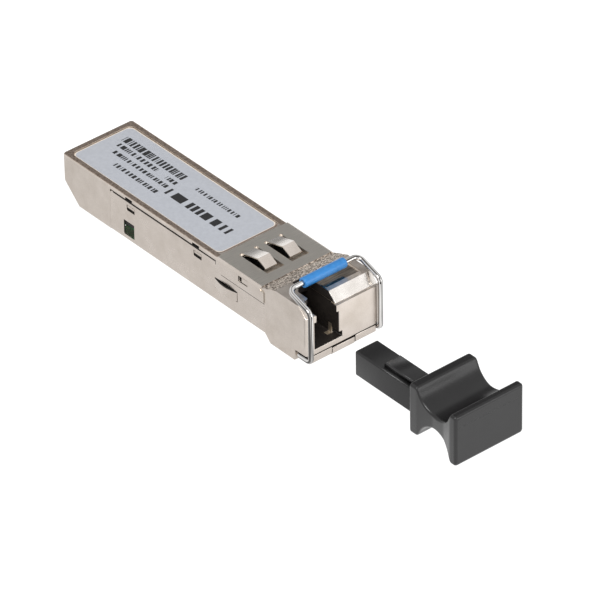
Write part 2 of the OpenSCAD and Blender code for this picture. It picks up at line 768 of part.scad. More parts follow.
module emi_collar() color("#8e8c86") placed() {
    difference() {
        union() {
            along_y(collar_y0, collar_y1) difference() {
                round_topped(body_w + 2 * collar_t, body_h - wing_h, body_h + collar_t, edge_r + collar_t);
                round_topped(body_w, body_h - wing_h - cut, body_h, edge_r);
            }
            both_sides()
                box([half_w, nose_l + catch_set, body_h - wing_h],
                    [half_w + collar_t, collar_y0 + eps, body_h - edge_r]);
        }
        both_sides() {
            box([finger_x - finger_window_w / 2, collar_y0 + finger_window_y, body_h - eps],
                [finger_x + finger_window_w / 2, collar_y0 + finger_root, body_h + cut]);
            for (s = [-1, 1])
                translate([finger_x + s * (finger_w / 2 + relief_r), collar_y0 + finger_root, body_h - eps])
                    cylinder(r = relief_r, h = cut);
            // window over the housing's boss and the bevelled lower rear corner
            box([half_w - cut, collar_y0 + catch_y, catch_z],
                [half_w + cut, collar_y0 + catch_y + catch_l, catch_z + catch_h]);
            along_x(half_w - cut, half_w + cut) translate([collar_y1, body_h - wing_h])
                polygon([[-wing_bevel, -eps], [cut, -eps], [cut, wing_bevel]]);
        }
    }
    both_sides() top_finger();
}

module label() color("#b9c0cb") placed()
    translate([0, 0, body_h - label_depth]) linear_extrude(label_t)
        round_rect(label_w - 2 * label_play, label_y0 + label_play, label_y1 - label_play,
                   label_r - label_play);

// ---- latch ----

// Lever with its front tab, hub, arm and the boss that holds the module in the cage
module latch_lever() color("#cdc5bb") placed() difference() {
    union() {
        along_x(-lever_w / 2, lever_w / 2)
            polygon([[0, chin], [0, tab_h], [tab_l, tab_h], [tab_l + chin, lever_t], [nose_l - chin, lever_t],
                     [nose_l - chin, 0], [chin, 0]]);
        along_x(-lever_w / 2 + lever_gap, lever_w / 2 - lever_gap)
            polygon([[pin_y, 0], [pin_y, lever_t], [lever_end, lever_t], [lever_end, 0]]);
        rod_x(pin_y, pin_z, pin_d / 2 + hub_t, -lever_w / 2, lever_w / 2);
        along_x(-boss_w / 2, boss_w / 2) translate([shoulder_y, 0])
            polygon([[0, eps], [0, -boss_h], [boss_flat, -boss_h], [boss_l, eps]]);
    }
    rod_x(pin_y, pin_z, pin_d / 2 + pin_gap, -lever_w, lever_w);
}

module lever_pin() color("#b5b5b5") placed()
    rod_x(pin_y, pin_z, pin_d / 2, -cover_w / 2 + pin_end, cover_w / 2 - pin_end);

// Leaf spring between the cover's roof and the lever's rear arm
module latch_spring() color("#c9c9c9") placed() {
    y0 = pin_y + hub_t + leaf_set;
    y1 = nose_l - chin;
    y2 = lever_end - 3 * chin;
    upper = roof_z - leaf_gap;
    lower = lever_t + leaf_gap;
    along_x(-leaf_w / 2, leaf_w / 2)
        polygon([[y0, upper - leaf_t], [y1, upper - leaf_t], [y2, lower], [y2 + chin, lower],
                 [y2 + chin, lower + leaf_t], [y2, lower + leaf_t], [y1 + leaf_t, upper], [y0, upper]]);
}

// ---- bail ----

function unit(v) = v / norm(v);
function turn_between(u, v) = acos(u * v);

// Points round the corner at p, from direction u to direction v, on an arc of radius r
function corner(p, u, v, r) =
    let(a = turn_between(u, v), n = unit(v - (v * u) * u), c = p - u * r * tan(a / 2) + n * r)
    [for (i = [0:bend_steps]) c - n * r * cos(a * i / bend_steps) + u * r * sin(a * i / bend_steps)];

// The path through the points p with every inner corner rounded to its radius in r
function rounded_path(p, r) =
    let(last = len(p) - 1)
    concat([p[0]],
           [for (i = [1:last - 1]) each corner(p[i], unit(p[i] - p[i - 1]), unit(p[i + 1] - p[i]), r[i])],
           [p[last]]);

// Direction of the path at each of its points
function tangents(p) =
    let(last = len(p) - 1)
    [for (i = [0:last]) unit(p[min(i + 1, last)] - p[max(i - 1, 0)])];

// One side direction per point, carried along the path without twist
function sides(t, first, i = 0) =
    let(s = unit(first - (first * t[i]) * t[i]))
    i == len(t) - 1 ? [s] : concat([s], sides(t, s, i + 1));

// Round wire of radius r along the path p
module wire(p, r) {
    t = tangents(p);
    s = sides(t, [0, 0, 1]);
    m = wire_sides;
    rings = len(p);
    points = [for (i = [0:rings - 1], j = [0:m - 1])
        p[i] + r * (cos(360 * j / m) * s[i] + sin(360 * j / m) * cross(t[i], s[i]))];
    walls = [for (i = [0:rings - 2], j = [0:m - 1], k = [0, 1])
        let(a = i * m + j, b = i * m + (j + 1) % m) k == 0 ? [a, a + m, b] : [b, a + m, b + m]];
    ends = [[for (j = [0:m - 1]) j], [for (j = [m - 1:-1:0]) (rings - 1) * m + j]];
    polyhedron(points = points, faces = concat(walls, ends));
}

// Points of the right half, from the pivot stub up to the crossbar
bend_steps = 10;
wire_sides = 24;
bail_right = [[cover_front_w / 2 - stub_l, pivot_y, pivot_z], [leg_x, pivot_y, pivot_z],
              [leg_x, leg_y, pivot_z], [leg_x, leg_y, knee_z], [leg_x, bar_y, bar_z]];
bail_points = concat(bail_right, [for (i = [4:-1:0]) [-bail_right[i].x, bail_right[i].y, bail_right[i].z]]);
bail_radii = [0, pivot_bend_r, foot_r, bend_r, bend_r, bend_r, bend_r, foot_r, pivot_bend_r, 0];

module bail_wire() color("#c8c8ca") placed() wire(rounded_path(bail_points, bail_radii), wire_r);

module bail_sleeve() color("#3a8adb") placed() difference() {
    rod_x(bar_y, bar_z, sleeve_d / 2, -sleeve_l / 2, sleeve_l / 2);
    rod_x(bar_y, bar_z, wire_r + sleeve_gap, -sleeve_l, sleeve_l);
}

// ---- optics ----

// Metal receptacle: barrel in the port, flange behind the port's end wall
module receptacle() color("#d8d2c2") placed() difference() {
    union() {
        rod_y(-port_x, port_z, barrel_r, barrel_front, block_y0);
        rod_y(-port_x, port_z, barrel_r + flange_rim, bay_y0, block_y0);
    }
    rod_y(-port_x, port_z, ceramic_r + ceramic_gap, barrel_front - cut, stub_y0 + stub_core_l + ceramic_gap);
}

// Split ceramic sleeve that lines up the connector's ferrule with the stub
module split_sleeve() color("#f2efe8") placed() difference() {
    rod_y(-port_x, port_z, ceramic_r, barrel_front + ceramic_set, stub_y0);
    rod_y(-port_x, port_z, ferrule_d / 2, barrel_front, stub_y0 + cut);
    box([-port_x - slit_w / 2, barrel_front, port_z],
        [-port_x + slit_w / 2, stub_y0 + cut, port_z + ceramic_r + cut]);
}

// Fibre stub in its ceramic holder, behind the split sleeve
module fibre_stub() color("#fbfaf5") placed()
    rod_y(-port_x, port_z, ceramic_r, stub_y0 + ceramic_gap, stub_y0 + stub_core_l);

// Block that joins the receptacle, the laser behind it and the receiver at its side
module optical_block() color("#c9b27c") placed() difference() {
    translate([-port_x, 0, port_z])
        box([-block_s / 2, block_y0, -block_s / 2], [block_s / 2, block_y1, block_s / 2]);
    rod_y(-port_x, port_z, light_r, block_y0 - cut, block_y1 + cut);
    rod_x(block_y0 + block_l / 2, port_z, light_r, -port_x, -port_x + block_s);
}

// Four leads of radius r round the axis of a can, from z0 to z1
module leads(r, z0, z1)
    for (i = [0:3]) rotate([0, 0, 45 + i * 90]) translate([lead_ring, 0, z0]) cylinder(r = r, h = z1 - z0);

// Can with its header and its leads, drawn along +Z from its window
module can(h) {
    cylinder(r = can_d / 2 - header_rim, h = h);
    translate([0, 0, h - header_t]) cylinder(r = can_d / 2, h = header_t);
    leads(lead_r, h - eps, h + lead_l);
}

module at_laser() translate([-port_x, block_y1, port_z]) rotate([-90, 0, 0]) children();
module at_receiver()
    translate([-port_x + block_s / 2, block_y0 + block_l / 2, port_z]) rotate([0, 90, 0]) children();

module laser_can() color("#c7a75a") placed() at_laser() can(laser_l);
module receiver_can() color("#c7a75a") placed() at_receiver() can(receiver_l);

// Outline of a strip that comes down from (y, z) to the board and lies on it
module strip_down(y, z)
    polygon([[y, z], [y, pcb_top + flex_drop], [y + flex_drop, pcb_top], [pcb_y + flex_pad, pcb_top],
             [pcb_y + flex_pad, pcb_top + flex_t], [y + flex_drop + flex_t, pcb_top + flex_t],
             [y + flex_t, pcb_top + flex_drop + flex_t], [y + flex_t, z]]);

// Flexible strip from the laser's leads down to the board
module laser_flex() color("#b7742c") placed() difference() {
    along_x(-port_x - flex_w / 2, -port_x + flex_w / 2)
        strip_down(laser_back + flex_gap, port_z + flex_w / 2);
    at_laser() leads(lead_r + lead_gap, laser_l, laser_l + 2 * lead_l);
}

// Flexible strip from the receiver's leads along the wall to the board
module receiver_flex() color("#b7742c") placed() difference() {
    translate([receiver_back + flex_gap, 0, pcb_top]) {
        box([0, block_y0 + flex_drop, 0], [flex_t, laser_back, port_z + flex_w / 2 - pcb_top]);
        box([0, laser_back - flex_w / 2, 0],
            [bay_w / 2 - flex_drop - receiver_back - flex_gap, pcb_y + flex_pad, flex_t]);
    }
    at_receiver() leads(lead_r + lead_gap, receiver_l, receiver_l + 2 * lead_l);
}

// ---- circuit board ----

module circuit_board() color("#1f6b3a") placed() {
    box([-pcb_w / 2, pcb_y, pcb_z], [pcb_w / 2, pcb_y1 - pcb_edge_l, pcb_top]);
    along_x(-pcb_edge_w / 2, pcb_edge_w / 2)
        polygon([[pcb_y1 - pcb_edge_l - eps, pcb_z], [pcb_y1 - 2 * pcb_bevel, pcb_z],
                 [pcb_y1, pcb_z + pcb_bevel], [pcb_y1, pcb_top - pcb_bevel],
                 [pcb_y1 - 2 * pcb_bevel, pcb_top], [pcb_y1 - pcb_edge_l - eps, pcb_top]]);
}

// Row of plug-in contacts whose lower face is at height z
module contact_row(z)
    for (i = [0:contact_n - 1])
        translate([(i - (contact_n - 1) / 2) * contact_pitch, pcb_y1 - contact_gap - contact_l, z])
            translate([-contact_w / 2, 0, 0]) cube([contact_w, contact_l, contact_t]);

module contacts_top() color("#d9b44a") placed() contact_row(pcb_top);
module contacts_bottom() color("#d9b44a") placed() contact_row(pcb_z - contact_t);

// Flat chip with five leads on each of two sides, its near left corner at (x, y)
module chip(x, y, w, l, h) translate([x, y, pcb_top]) {
    cube([w, l, h]);
    for (i = [0:4], side = [-chip_lead, w - eps])
        translate([side, (i + 0.5) * l / 5 - chip_lead / 2, 0]) cube([chip_lead + eps, chip_lead, h / 3]);
}

module driver_chip() color("#2a2a2c") placed()
    chip(driver_x, driver_y, driver_s, driver_s, chip_h);
module controller_chip() color("#2a2a2c") placed()
    chip(pcb_w / 2 - chip_edge - controller_s, controller_y, controller_s, controller_s, chip_h);
module memory_chip() color("#2a2a2c") placed()
    chip(driver_x, pcb_y1 - pcb_edge_l - chip_gap - memory_l, memory_w, memory_l, chip_h);

// Small capacitors and resistors in two rows beside the driver
module passives() color("#b79a73") placed()
    for (i = [0:5], j = [0:1])
        translate([driver_x + driver_s + chip_gap + 2 * j * passive_l, driver_y + i * passive_pitch, pcb_top])
            cube([passive_l, passive_w, passive_w]);

// ---- dust plug ----

// Spool profile of the grip, seen from the side: flange, saddles above and below, plate
module grip_profile() {
    chord = grip_l - flange_t - plate_t;
    saddle_r = (chord * chord / 4 + saddle_depth * saddle_depth) / (2 * saddle_depth);
    difference() {
        translate([-grip_l, -grip_h / 2]) square([grip_l, grip_h]);
        for (s = [-1, 1])
            translate([-flange_t - chord / 2, s * (grip_h / 2 - saddle_depth + saddle_r)]) circle(saddle_r);
    }
}

// Plan of the grip: narrow at the flange, flared to the plate
module grip_plan() {
    right = [[flange_w / 2, 0], [flange_w / 2, -flange_t], [flange_w / 2 - waist, -grip_l * waist_at],
             [flange_w / 2 + waist / 2, -grip_l * flare_at], [plate_w / 2, -grip_l + plate_t],
             [plate_w / 2, -grip_l]];
    polygon(concat(right, [for (i = [len(right) - 1:-1:0]) [-right[i].x, right[i].y]]));
}

// Square of side s, length l, with a chamfer c at its far end, seen from above or from the side
module shank_outline(s, l, c)
    polygon([[-eps, -s / 2], [l - c, -s / 2], [l, -s / 2 + c],
             [l, s / 2 - c], [l - c, s / 2], [-eps, s / 2]]);

module dust_plug() color("#3c3b3c") placed() translate([0, -plug_out, 0]) {
    translate([-port_x, 0, port_z]) difference() {
        union() {
            intersection() {
                along_x(-shank_s / 2, shank_s / 2) shank_outline(shank_s, shank_l, shank_chamfer);
                translate([0, 0, -shank_s / 2]) linear_extrude(shank_s) rotate([0, 0, 90])
                    shank_outline(shank_s, shank_l, shank_chamfer);
            }
            box([-rib_w / 2, -eps, 0], [rib_w / 2, shank_l - rib_from_tip, shank_s / 2 + rib_h]);
        }
        rod_y(0, 0, barrel_r + bore_play, shank_l - shank_bore_l, shank_l + cut);
    }
    difference() {
        intersection() {
            translate([0, 0, grip_z]) along_x(-plate_w, plate_w) grip_profile();
            translate([0, 0, grip_z - grip_h]) linear_extrude(2 * grip_h) grip_plan();
        }
        // dimple in each side of the flange
        both_sides()
            rod_x(-flange_t / 2, grip_z - 2 * dimple_r, dimple_r, flange_w / 2 - dimple_set, flange_w);
    }
}

housing();
nose_cover();
bottom_shell();
emi_collar();
label();
latch_lever();
lever_pin();
latch_spring();
bail_wire();
bail_sleeve();
receptacle();
split_sleeve();
fibre_stub();
optical_block();
laser_can();
receiver_can();
laser_flex();
receiver_flex();
circuit_board();
contacts_top();
contacts_bottom();
driver_chip();
controller_chip();
memory_chip();
passives();
dust_plug();
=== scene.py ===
"""Looks of a pluggable optical transceiver module with its wire bail and its dust plug.

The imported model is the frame. Each section below dresses one piece, in the order in which the
module is put together. Sizes are in millimetres until the mesh is made, with y counted from the
nose's front face towards the card edge.
"""
import math
from collections import namedtuple

import bmesh
import bpy
import numpy as np
from mathutils import Matrix, Vector
from mathutils.bvhtree import BVHTree
from mathutils.kdtree import KDTree


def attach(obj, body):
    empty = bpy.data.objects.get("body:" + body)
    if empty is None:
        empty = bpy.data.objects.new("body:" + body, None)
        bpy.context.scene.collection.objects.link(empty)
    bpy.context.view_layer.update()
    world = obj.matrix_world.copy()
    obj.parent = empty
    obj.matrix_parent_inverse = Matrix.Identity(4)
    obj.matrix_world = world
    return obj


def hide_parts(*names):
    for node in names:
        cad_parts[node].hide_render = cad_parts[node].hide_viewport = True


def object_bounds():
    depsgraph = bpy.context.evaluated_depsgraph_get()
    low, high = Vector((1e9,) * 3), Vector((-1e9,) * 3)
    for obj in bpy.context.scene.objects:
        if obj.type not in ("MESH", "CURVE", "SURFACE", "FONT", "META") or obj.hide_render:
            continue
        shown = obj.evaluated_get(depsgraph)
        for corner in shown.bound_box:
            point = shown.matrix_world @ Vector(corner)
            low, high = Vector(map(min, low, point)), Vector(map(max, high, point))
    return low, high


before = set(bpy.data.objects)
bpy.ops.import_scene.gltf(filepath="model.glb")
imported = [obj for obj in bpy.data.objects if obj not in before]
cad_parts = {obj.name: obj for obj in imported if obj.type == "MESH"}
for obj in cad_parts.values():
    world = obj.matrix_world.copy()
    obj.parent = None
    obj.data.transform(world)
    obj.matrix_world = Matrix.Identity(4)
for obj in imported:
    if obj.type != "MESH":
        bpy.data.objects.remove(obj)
cad_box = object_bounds()

# ---- Upper housing ----
# The real piece is a zinc die casting, tumbled and nickel plated, so its edges are soft and its
# skin is satin. It carries the nose with the port, the long top plate and the rear skirts.
# The band behind the nose's flat top is left with the coarse skin of the mould.

MM = 0.001

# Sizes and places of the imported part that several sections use. The origin lies under the middle
# of the body, FRONT behind the front face. The nose's flat tops end before CREST_Y, and what is
# right of the port has x above PORT_RIGHT.
BODY_L = 55.4
FRONT = BODY_L / 2
NOSE_L = 9.4
CREST_Y = 7.2
TOP_Z = 8.5
LIP_Z = 8.0
COLLAR_Y, COLLAR_END = 10.2, 20.0
SHELL_END = 44.3
PORT_RIGHT = -1.2

# Most of a noise lies between these, so a ramp between them uses both of its colours.
NOISE_LIMITS = (0.3, 0.7)
CLOUD_MM = 2.6
FINE_SHARE = 0.35
SMOOTHER, ROUGHER = 0.05, 0.07


def linear(code):
    """sRGB hex value to linear RGBA: (c / 12.92) below 0.04045, ((c + 0.055) / 1.055) ^ 2.4 above."""
    c = np.array([int(code[i:i + 2], 16) / 255 for i in (1, 3, 5)])
    return (*np.where(c <= 0.04045, c / 12.92, ((c + 0.055) / 1.055) ** 2.4), 1.0)


def add(tree, kind, inputs=None, **settings):
    """Adds a shader node; a value that is a socket becomes a link, any other a default."""
    node = tree.nodes.new(kind)
    for name, value in settings.items():
        setattr(node, name, value)
    for name, value in (inputs or {}).items():
        if isinstance(value, bpy.types.NodeSocket):
            tree.links.new(value, node.inputs[name])
        else:
            node.inputs[name].default_value = value
    return node


def calc(tree, operation, *values):
    """A math node on the values."""
    return add(tree, "ShaderNodeMath", dict(enumerate(values)), operation=operation).outputs[0]


def blend(tree, factor, low, high):
    """low where factor is 0 and high where it is 1."""
    return add(tree, "ShaderNodeMix", {"Factor": factor, "A": low, "B": high}).outputs["Result"]


def either(tree, *masks):
    """1 where any of the masks is 1."""
    result = masks[0]
    for mask in masks[1:]:
        result = calc(tree, "MAXIMUM", result, mask)
    return result


def finish_of(name):
    """A new material, ready for parts_of."""
    material = bpy.data.materials.new(name)
    material.use_nodes = True
    material.node_tree.nodes.new("ShaderNodeTexCoord")
    return material


def parts_of(material):
    """A material's node tree, its shader and its Object coordinates."""
    tree = material.node_tree
    return tree, tree.nodes["Principled BSDF"], tree.nodes["Texture Coordinate"].outputs["Object"]


def speckle(tree, where, grain_mm, detail=3.0, stretch=(1, 1, 1)):
    """Noise whose blotches are about grain_mm across, stretched along the axes by stretch."""
    spread = add(tree, "ShaderNodeMapping", {"Vector": where, "Scale": tuple(1 / s for s in stretch)})
    inputs = {"Vector": spread.outputs["Vector"], "Scale": 1 / (grain_mm * MM), "Detail": detail}
    return add(tree, "ShaderNodeTexNoise", inputs).outputs["Fac"]


def between(tree, value, limits, colours):
    """Colour ramp from the first colour at the lower limit to the second at the upper one."""
    ramp = add(tree, "ShaderNodeValToRGB", {"Fac": value})
    for stop, position, colour in zip(ramp.color_ramp.elements, limits, colours):
        stop.position = position
        stop.color = linear(colour)
    return ramp.outputs["Color"]


def relief(tree, height, depth_mm):
    """Bump of depth_mm from a height between 0 and 1."""
    return add(tree, "ShaderNodeBump", {"Height": height, "Distance": depth_mm * MM}).outputs["Normal"]


def within(tree, where, **ranges):
    """1 inside the box given by ranges of x, y and z in mm, and 0 outside."""
    parts = add(tree, "ShaderNodeSeparateXYZ", {"Vector": where}).outputs
    result = None
    for axis, (low, high) in ranges.items():
        shift = FRONT if axis == "y" else 0
        middle, half = ((low + high) / 2 - shift) * MM, (high - low) / 2 * MM
        slab = calc(tree, "COMPARE", parts[axis.upper()], middle, half)
        result = slab if result is None else calc(tree, "MULTIPLY", result, slab)
    return result


def over(tree, mask, below, above):
    """The colour above where mask is 1, and below elsewhere."""
    mixed = add(tree, "ShaderNodeMix", {"Factor": mask}, data_type="RGBA")
    for side, value in ((6, below), (7, above)):
        if isinstance(value, bpy.types.NodeSocket):
            tree.links.new(value, mixed.inputs[side])
        else:
            mixed.inputs[side].default_value = linear(value)
    return mixed.outputs[2]


def mark(material, mask, colour):
    """Lays a flat colour over a material's own colour where mask is 1."""
    tree, shader, _ = parts_of(material)
    base = shader.inputs["Base Color"]
    tree.links.new(over(tree, mask, base.links[0].from_socket, colour), base)


def grained(name, colours, grain_mm, detail=3.0, stretch=(1, 1, 1), limits=NOISE_LIMITS, depth_mm=0,
            metallic=0.0, roughness=0.5):
    """A material in two colours that one noise mixes; with a depth, the noise also gives its relief."""
    material = finish_of(name)
    tree, shader, where = parts_of(material)
    pattern = speckle(tree, where, grain_mm, detail, stretch)
    tree.links.new(between(tree, pattern, limits, colours), shader.inputs["Base Color"])
    if depth_mm:
        tree.links.new(relief(tree, pattern, depth_mm), shader.inputs["Normal"])
    shader.inputs["Metallic"].default_value = metallic
    shader.inputs["Roughness"].default_value = roughness
    return material


def satin_nickel(name, colours, roughness, grain_mm, depth_mm):
    """Nickel plating over a casting or a sheet: blotches of CLOUD_MM and a fine skin of grain_mm."""
    material = finish_of(name)
    tree, shader, where = parts_of(material)
    cloud = speckle(tree, where, CLOUD_MM, 4.0)
    fine = speckle(tree, where, grain_mm, 5.0)
    shade = blend(tree, FINE_SHARE, cloud, fine)
    tree.links.new(between(tree, shade, NOISE_LIMITS, colours), shader.inputs["Base Color"])
    low, high = NOISE_LIMITS
    rough = add(tree, "ShaderNodeMapRange", {"Value": cloud, "From Min": low, "From Max": high,
                                             "To Min": roughness - SMOOTHER, "To Max": roughness + ROUGHER})
    tree.links.new(rough.outputs["Result"], shader.inputs["Roughness"])
    tree.links.new(relief(tree, fine, depth_mm), shader.inputs["Normal"])
    shader.inputs["Metallic"].default_value = 1.0
    return material


# Points closer than WELD_MM are joined, and so are faces that lean less than FLAT_ANGLE degrees.
# Edges past CREASE_ANGLE are rounded, up to WIDEST_MM and to what edge_room leaves them. In TURNS
# rounds the faulty ones are made sharp again, in the first NARROW_TURNS only those of the face.
CREASE_ANGLE = 25
FLAT_ANGLE = 0.5
WELD_MM = 0.0005
WIDEST_MM = 0.5
FACE_SHARE = 0.4
SIDE_SHARE = 0.42
SIDE_LEAN = 0.5
REACH_MM = 0.07
SPARE_MM2 = 0.03
TURNS = 7
NARROW_TURNS = 4

# Share of a normal along an axis from which a face looks along it.
SQUARE_ON = 0.9

# The middles of a piece's faces and their normals, each coordinate an array.
Faces = namedtuple("Faces", "x y z nx ny nz")


def read(items, attribute, width=1, kind=float):
    """An attribute of many mesh items as an array, with width numbers for each item."""
    values = np.empty(len(items) * width, kind)
    items.foreach_get(attribute, values)
    return values.reshape(-1, width) if width > 1 else values


def edge_room(edge):
    """The largest radius that fits an edge: FACE_SHARE of the least width of its two faces across
    it, and SIDE_SHARE of each edge that meets it at a steep angle."""
    start, stop = (v.co for v in edge.verts)
    along = (stop - start).normalized()
    room = math.inf
    for face in edge.link_faces:
        reaches = [v.co - start for v in face.verts]
        room = min(room, FACE_SHARE * max((r - r.dot(along) * along).length for r in reaches))
        for near in face.edges:
            if near != edge and any(v in edge.verts for v in near.verts):
                line = near.verts[1].co - near.verts[0].co
                if abs(line.normalized().dot(along)) < SIDE_LEAN:
                    room = min(room, SIDE_SHARE * line.length)
    return room


def sharpen_faults(piece, flat_skin, widely):
    """Finds where edges had no room for their rounding, and makes them sharp again: points of the
    rounded mesh further than REACH_MM from the flat faces, for which every edge at the nearest
    corners is blamed, and faces whose triangles have SPARE_MM2 more area than their outline encloses,
    for which their own edges are blamed, or widely all that meet them. Returns the faults' count."""
    corners = KDTree(len(piece.data.vertices))
    for i, point in enumerate(read(piece.data.vertices, "co", 3)):
        corners.insert(point, i)
    corners.balance()
    shaped = piece.evaluated_get(bpy.context.evaluated_depsgraph_get())
    mesh = shaped.to_mesh()
    strays = {v.index for v in mesh.vertices if flat_skin.find_nearest(v.co)[3] > REACH_MM * MM}
    beside = {i for e in mesh.edges if strays & set(e.vertices) for i in e.vertices}
    blamed = {corners.find(mesh.vertices[i].co)[1] for i in beside}
    mesh.calc_loop_triangles()
    part = read(mesh.loop_triangles, "area")
    owner = read(mesh.loop_triangles, "polygon_index", kind=np.int32)
    whole = read(mesh.polygons, "area")
    sides = read(mesh.polygons, "loop_total", kind=np.int32)
    crossed = (np.bincount(owner, part, len(whole)) > whole + SPARE_MM2 * MM * MM) & (sides > 4)
    folded = [{corners.find(mesh.vertices[i].co)[1] for i in mesh.polygons[int(p)].vertices}
              for p in np.nonzero(crossed)[0]]
    shaped.to_mesh_clear()
    weights = piece.data.attributes["bevel_weight_edge"].data
    for e in piece.data.edges:
        ends = set(e.vertices)
        if blamed & ends or any(ends & face if widely else ends <= face for face in folded):
            weights[e.index].value = 0.0
    return len(strays) + len(folded)


def rounded_copy(node, radius_mm, wider=None):
    """The CAD node's own faces, its triangles joined into flat faces and its edges rounded to
    radius_mm, to what wider gives for an edge's middle, or to what fits; 0 leaves them sharp."""
    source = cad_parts[node]
    piece = bpy.data.objects.new(node + "_look", source.data.copy())
    bpy.context.scene.collection.objects.link(piece)
    piece.data.materials.clear()
    shape = bmesh.new()
    shape.from_mesh(piece.data)
    bmesh.ops.remove_doubles(shape, verts=shape.verts, dist=WELD_MM * MM)
    bmesh.ops.dissolve_degenerate(shape, edges=shape.edges, dist=WELD_MM * MM)
    bmesh.ops.dissolve_limit(shape, verts=shape.verts, edges=shape.edges,
                             angle_limit=math.radians(FLAT_ANGLE))
    for f in shape.faces:
        f.smooth = True
    weight = shape.edges.layers.float.new("bevel_weight_edge")
    for e in shape.edges:
        e.smooth = e.calc_face_angle(0) < math.radians(CREASE_ANGLE)
        if not e.smooth:
            middle = (e.verts[0].co + e.verts[1].co) / 2 / MM + Vector((0, FRONT, 0))
            radius = (wider(middle) if wider else None) or radius_mm
            e[weight] = min(radius * MM, edge_room(e)) / (WIDEST_MM * MM)
    flat_skin = BVHTree.FromBMesh(shape)
    shape.to_mesh(piece.data)
    shape.free()
    flats = piece.modifiers.new("even flats", "WEIGHTED_NORMAL")
    flats.keep_sharp = True
    if not radius_mm:
        return piece
    bevel = piece.modifiers.new("rounded edges", "BEVEL")
    bevel.width = WIDEST_MM * MM
    bevel.segments = 2
    bevel.limit_method = "WEIGHT"
    bevel.use_clamp_overlap = False
    piece.modifiers.move(1, 0)
    for turn in range(TURNS):
        if not sharpen_faults(piece, flat_skin, turn >= NARROW_TURNS):
            return piece
    piece.modifiers.remove(bevel)
    return piece


def faces_up(f):
    """Which faces look up."""
    return f.nz > SQUARE_ON


def faces_down(f):
    """Which faces look down."""
    return f.nz < -SQUARE_ON


def faces_aside(f):
    """Which faces look left or right."""
    return np.abs(f.nx) > SQUARE_ON


def slopes_back(f):
    """Which faces look up and backwards."""
    return (f.ny > 0.2) & (f.nz > 0.5)


def amid(values, limits):
    """Which values lie between the two limits."""
    return (values > limits[0]) & (values < limits[1])


def inside(f, **ranges):
    """Which faces have their middle within the ranges of x, y and z in mm."""
    return np.all([amid(getattr(f, axis), limits) for axis, limits in ranges.items()], axis=0)


def paint(piece, *finishes):
    """Gives the faces of a piece several materials: each finish is a material and a test on the
    faces' middles in mm and their normals; a later finish wins."""
    centres = read(piece.data.polygons, "center", 3) / MM + (0, FRONT, 0)
    normals = read(piece.data.polygons, "normal", 3)
    faces = Faces(*centres.T, *normals.T)
    slots = np.zeros(len(centres), np.int32)
    for i, (material, chosen) in enumerate(finishes):
        piece.data.materials.append(material)
        if chosen:
            slots[chosen(faces)] = i
    piece.data.polygons.foreach_set("material_index", slots)


def place(piece, material, body, slot, *nodes):
    """Gives a piece its body and, if it has none, its material, and hides the CAD nodes it stands for; slot
    is not used.
    """
    if not piece.data.materials:
        piece.data.materials.append(material)
    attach(piece, body)
    if nodes:
        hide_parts(*nodes)
    return piece


# Where the housing's finishes meet. The port's room takes in the steps beside it, NEAR is the
# slack round a level face, and the gaps are told by their distance from the middle or their height.
NEAR = 0.05
LEFT_TOP_X, LEFT_TOP_Z = -3.6, 9.7
SEAT_Z, RAMP_Z = 9.4, 8.3
POCKET_Y, PLATE_Y = 10, 19
PORT_ROOM = {"x": (-5.45, -0.2), "y": (0.05, 12.5), "z": (2.55, 9.72)}
EAVES_Z, PIP_Y = 8.8, 7.05
# HIGHLIT_EDGE holds a painted highlight over the port, and REFLECTION_STREAK a painted reflection in it.
HIGHLIT_EDGE = {"x": (-1.2, -1.05), "y": (0.5, 6.6), "z": (8.2, 8.36)}
REFLECTION_STREAK = {"x": (-1.75, -0.8), "y": (1.55, 2.35), "z": (2.5, 4.2)}
BRIDGE_SPANS, BRIDGE_Y = ((1.15, 3.45), (-3.45, -1.15)), (13.7, 18.2)
WALL_GAP, LIP_GAP, COVER_GAP = (6.3, 6.5), (7.9, 8.4), (1.6, 1.7)
NOSE_EDGE_R, NOSE_WALL_R, RECESS_R, LIP_R = 0.16, 0.12, 0.2, 0.05

# Satin plating on a casting gives the eye a pale warm grey with a faint grain.
cast_nickel = satin_nickel("nickel on die casting", ("#bfb5ab", "#d8cfc7"), 0.33, 0.18, 0.012)

# The mould's coarse skin gives the eye a mottled band of bright and brown-grey specks.
coarse_nickel = grained("nickel on coarse casting skin", ("#5e5249", "#ddd3c8"), 0.26, limits=(0.42, 0.58),
                        depth_mm=0.10, metallic=1.0)

# The ramp over the port gets a brighter nickel as a painted highlight, as do the collar's fingers and front
# edge.
highlight_nickel = satin_nickel("nickel with painted highlight", ("#e6dfd8", "#fffbf6"), 0.2, 0.18, 0.012)

# The flat tops of the nose and the sleeve's seat are rubbed smooth: a brownish mirror with fine
# lines across the module.
rubbed_nickel = grained("rubbed nickel", ("#81756a", "#d4cabf"), 0.16, 4.0, (14, 1, 1), depth_mm=0.004,
                        metallic=1.0, roughness=0.13)

# The narrow border round the label is a darker brown nickel.
brown_rim_nickel = grained("darker brown nickel", ("#8f7d70", "#c4b3a5"), 0.35, 4.0, depth_mm=0.02,
                           metallic=1.0, roughness=0.33)

# Faces in the narrow gaps between the pieces get a painted shade, dark brown-black.
gap_shade = grained("painted shade in the gaps", ("#0c0a09", "#1a1613"), 0.3, roughness=0.7)


def shaded_port_walls():
    """The port's walls get painted shade, near black. One edge over the port gets a painted highlight, and
    a streak on its floor and inner wall gets a painted reflection."""
    material = grained("painted shade in the port", ("#171311", "#2b2521"), 0.25, depth_mm=0.02)
    tree, shader, where = parts_of(material)
    # The painted highlight and the painted reflection are a pale metal.
    highlights = either(tree, within(tree, where, **HIGHLIT_EDGE), within(tree, where, **REFLECTION_STREAK))
    mark(material, highlights, "#d0c2ae")
    tree.links.new(highlights, shader.inputs["Metallic"])
    return material


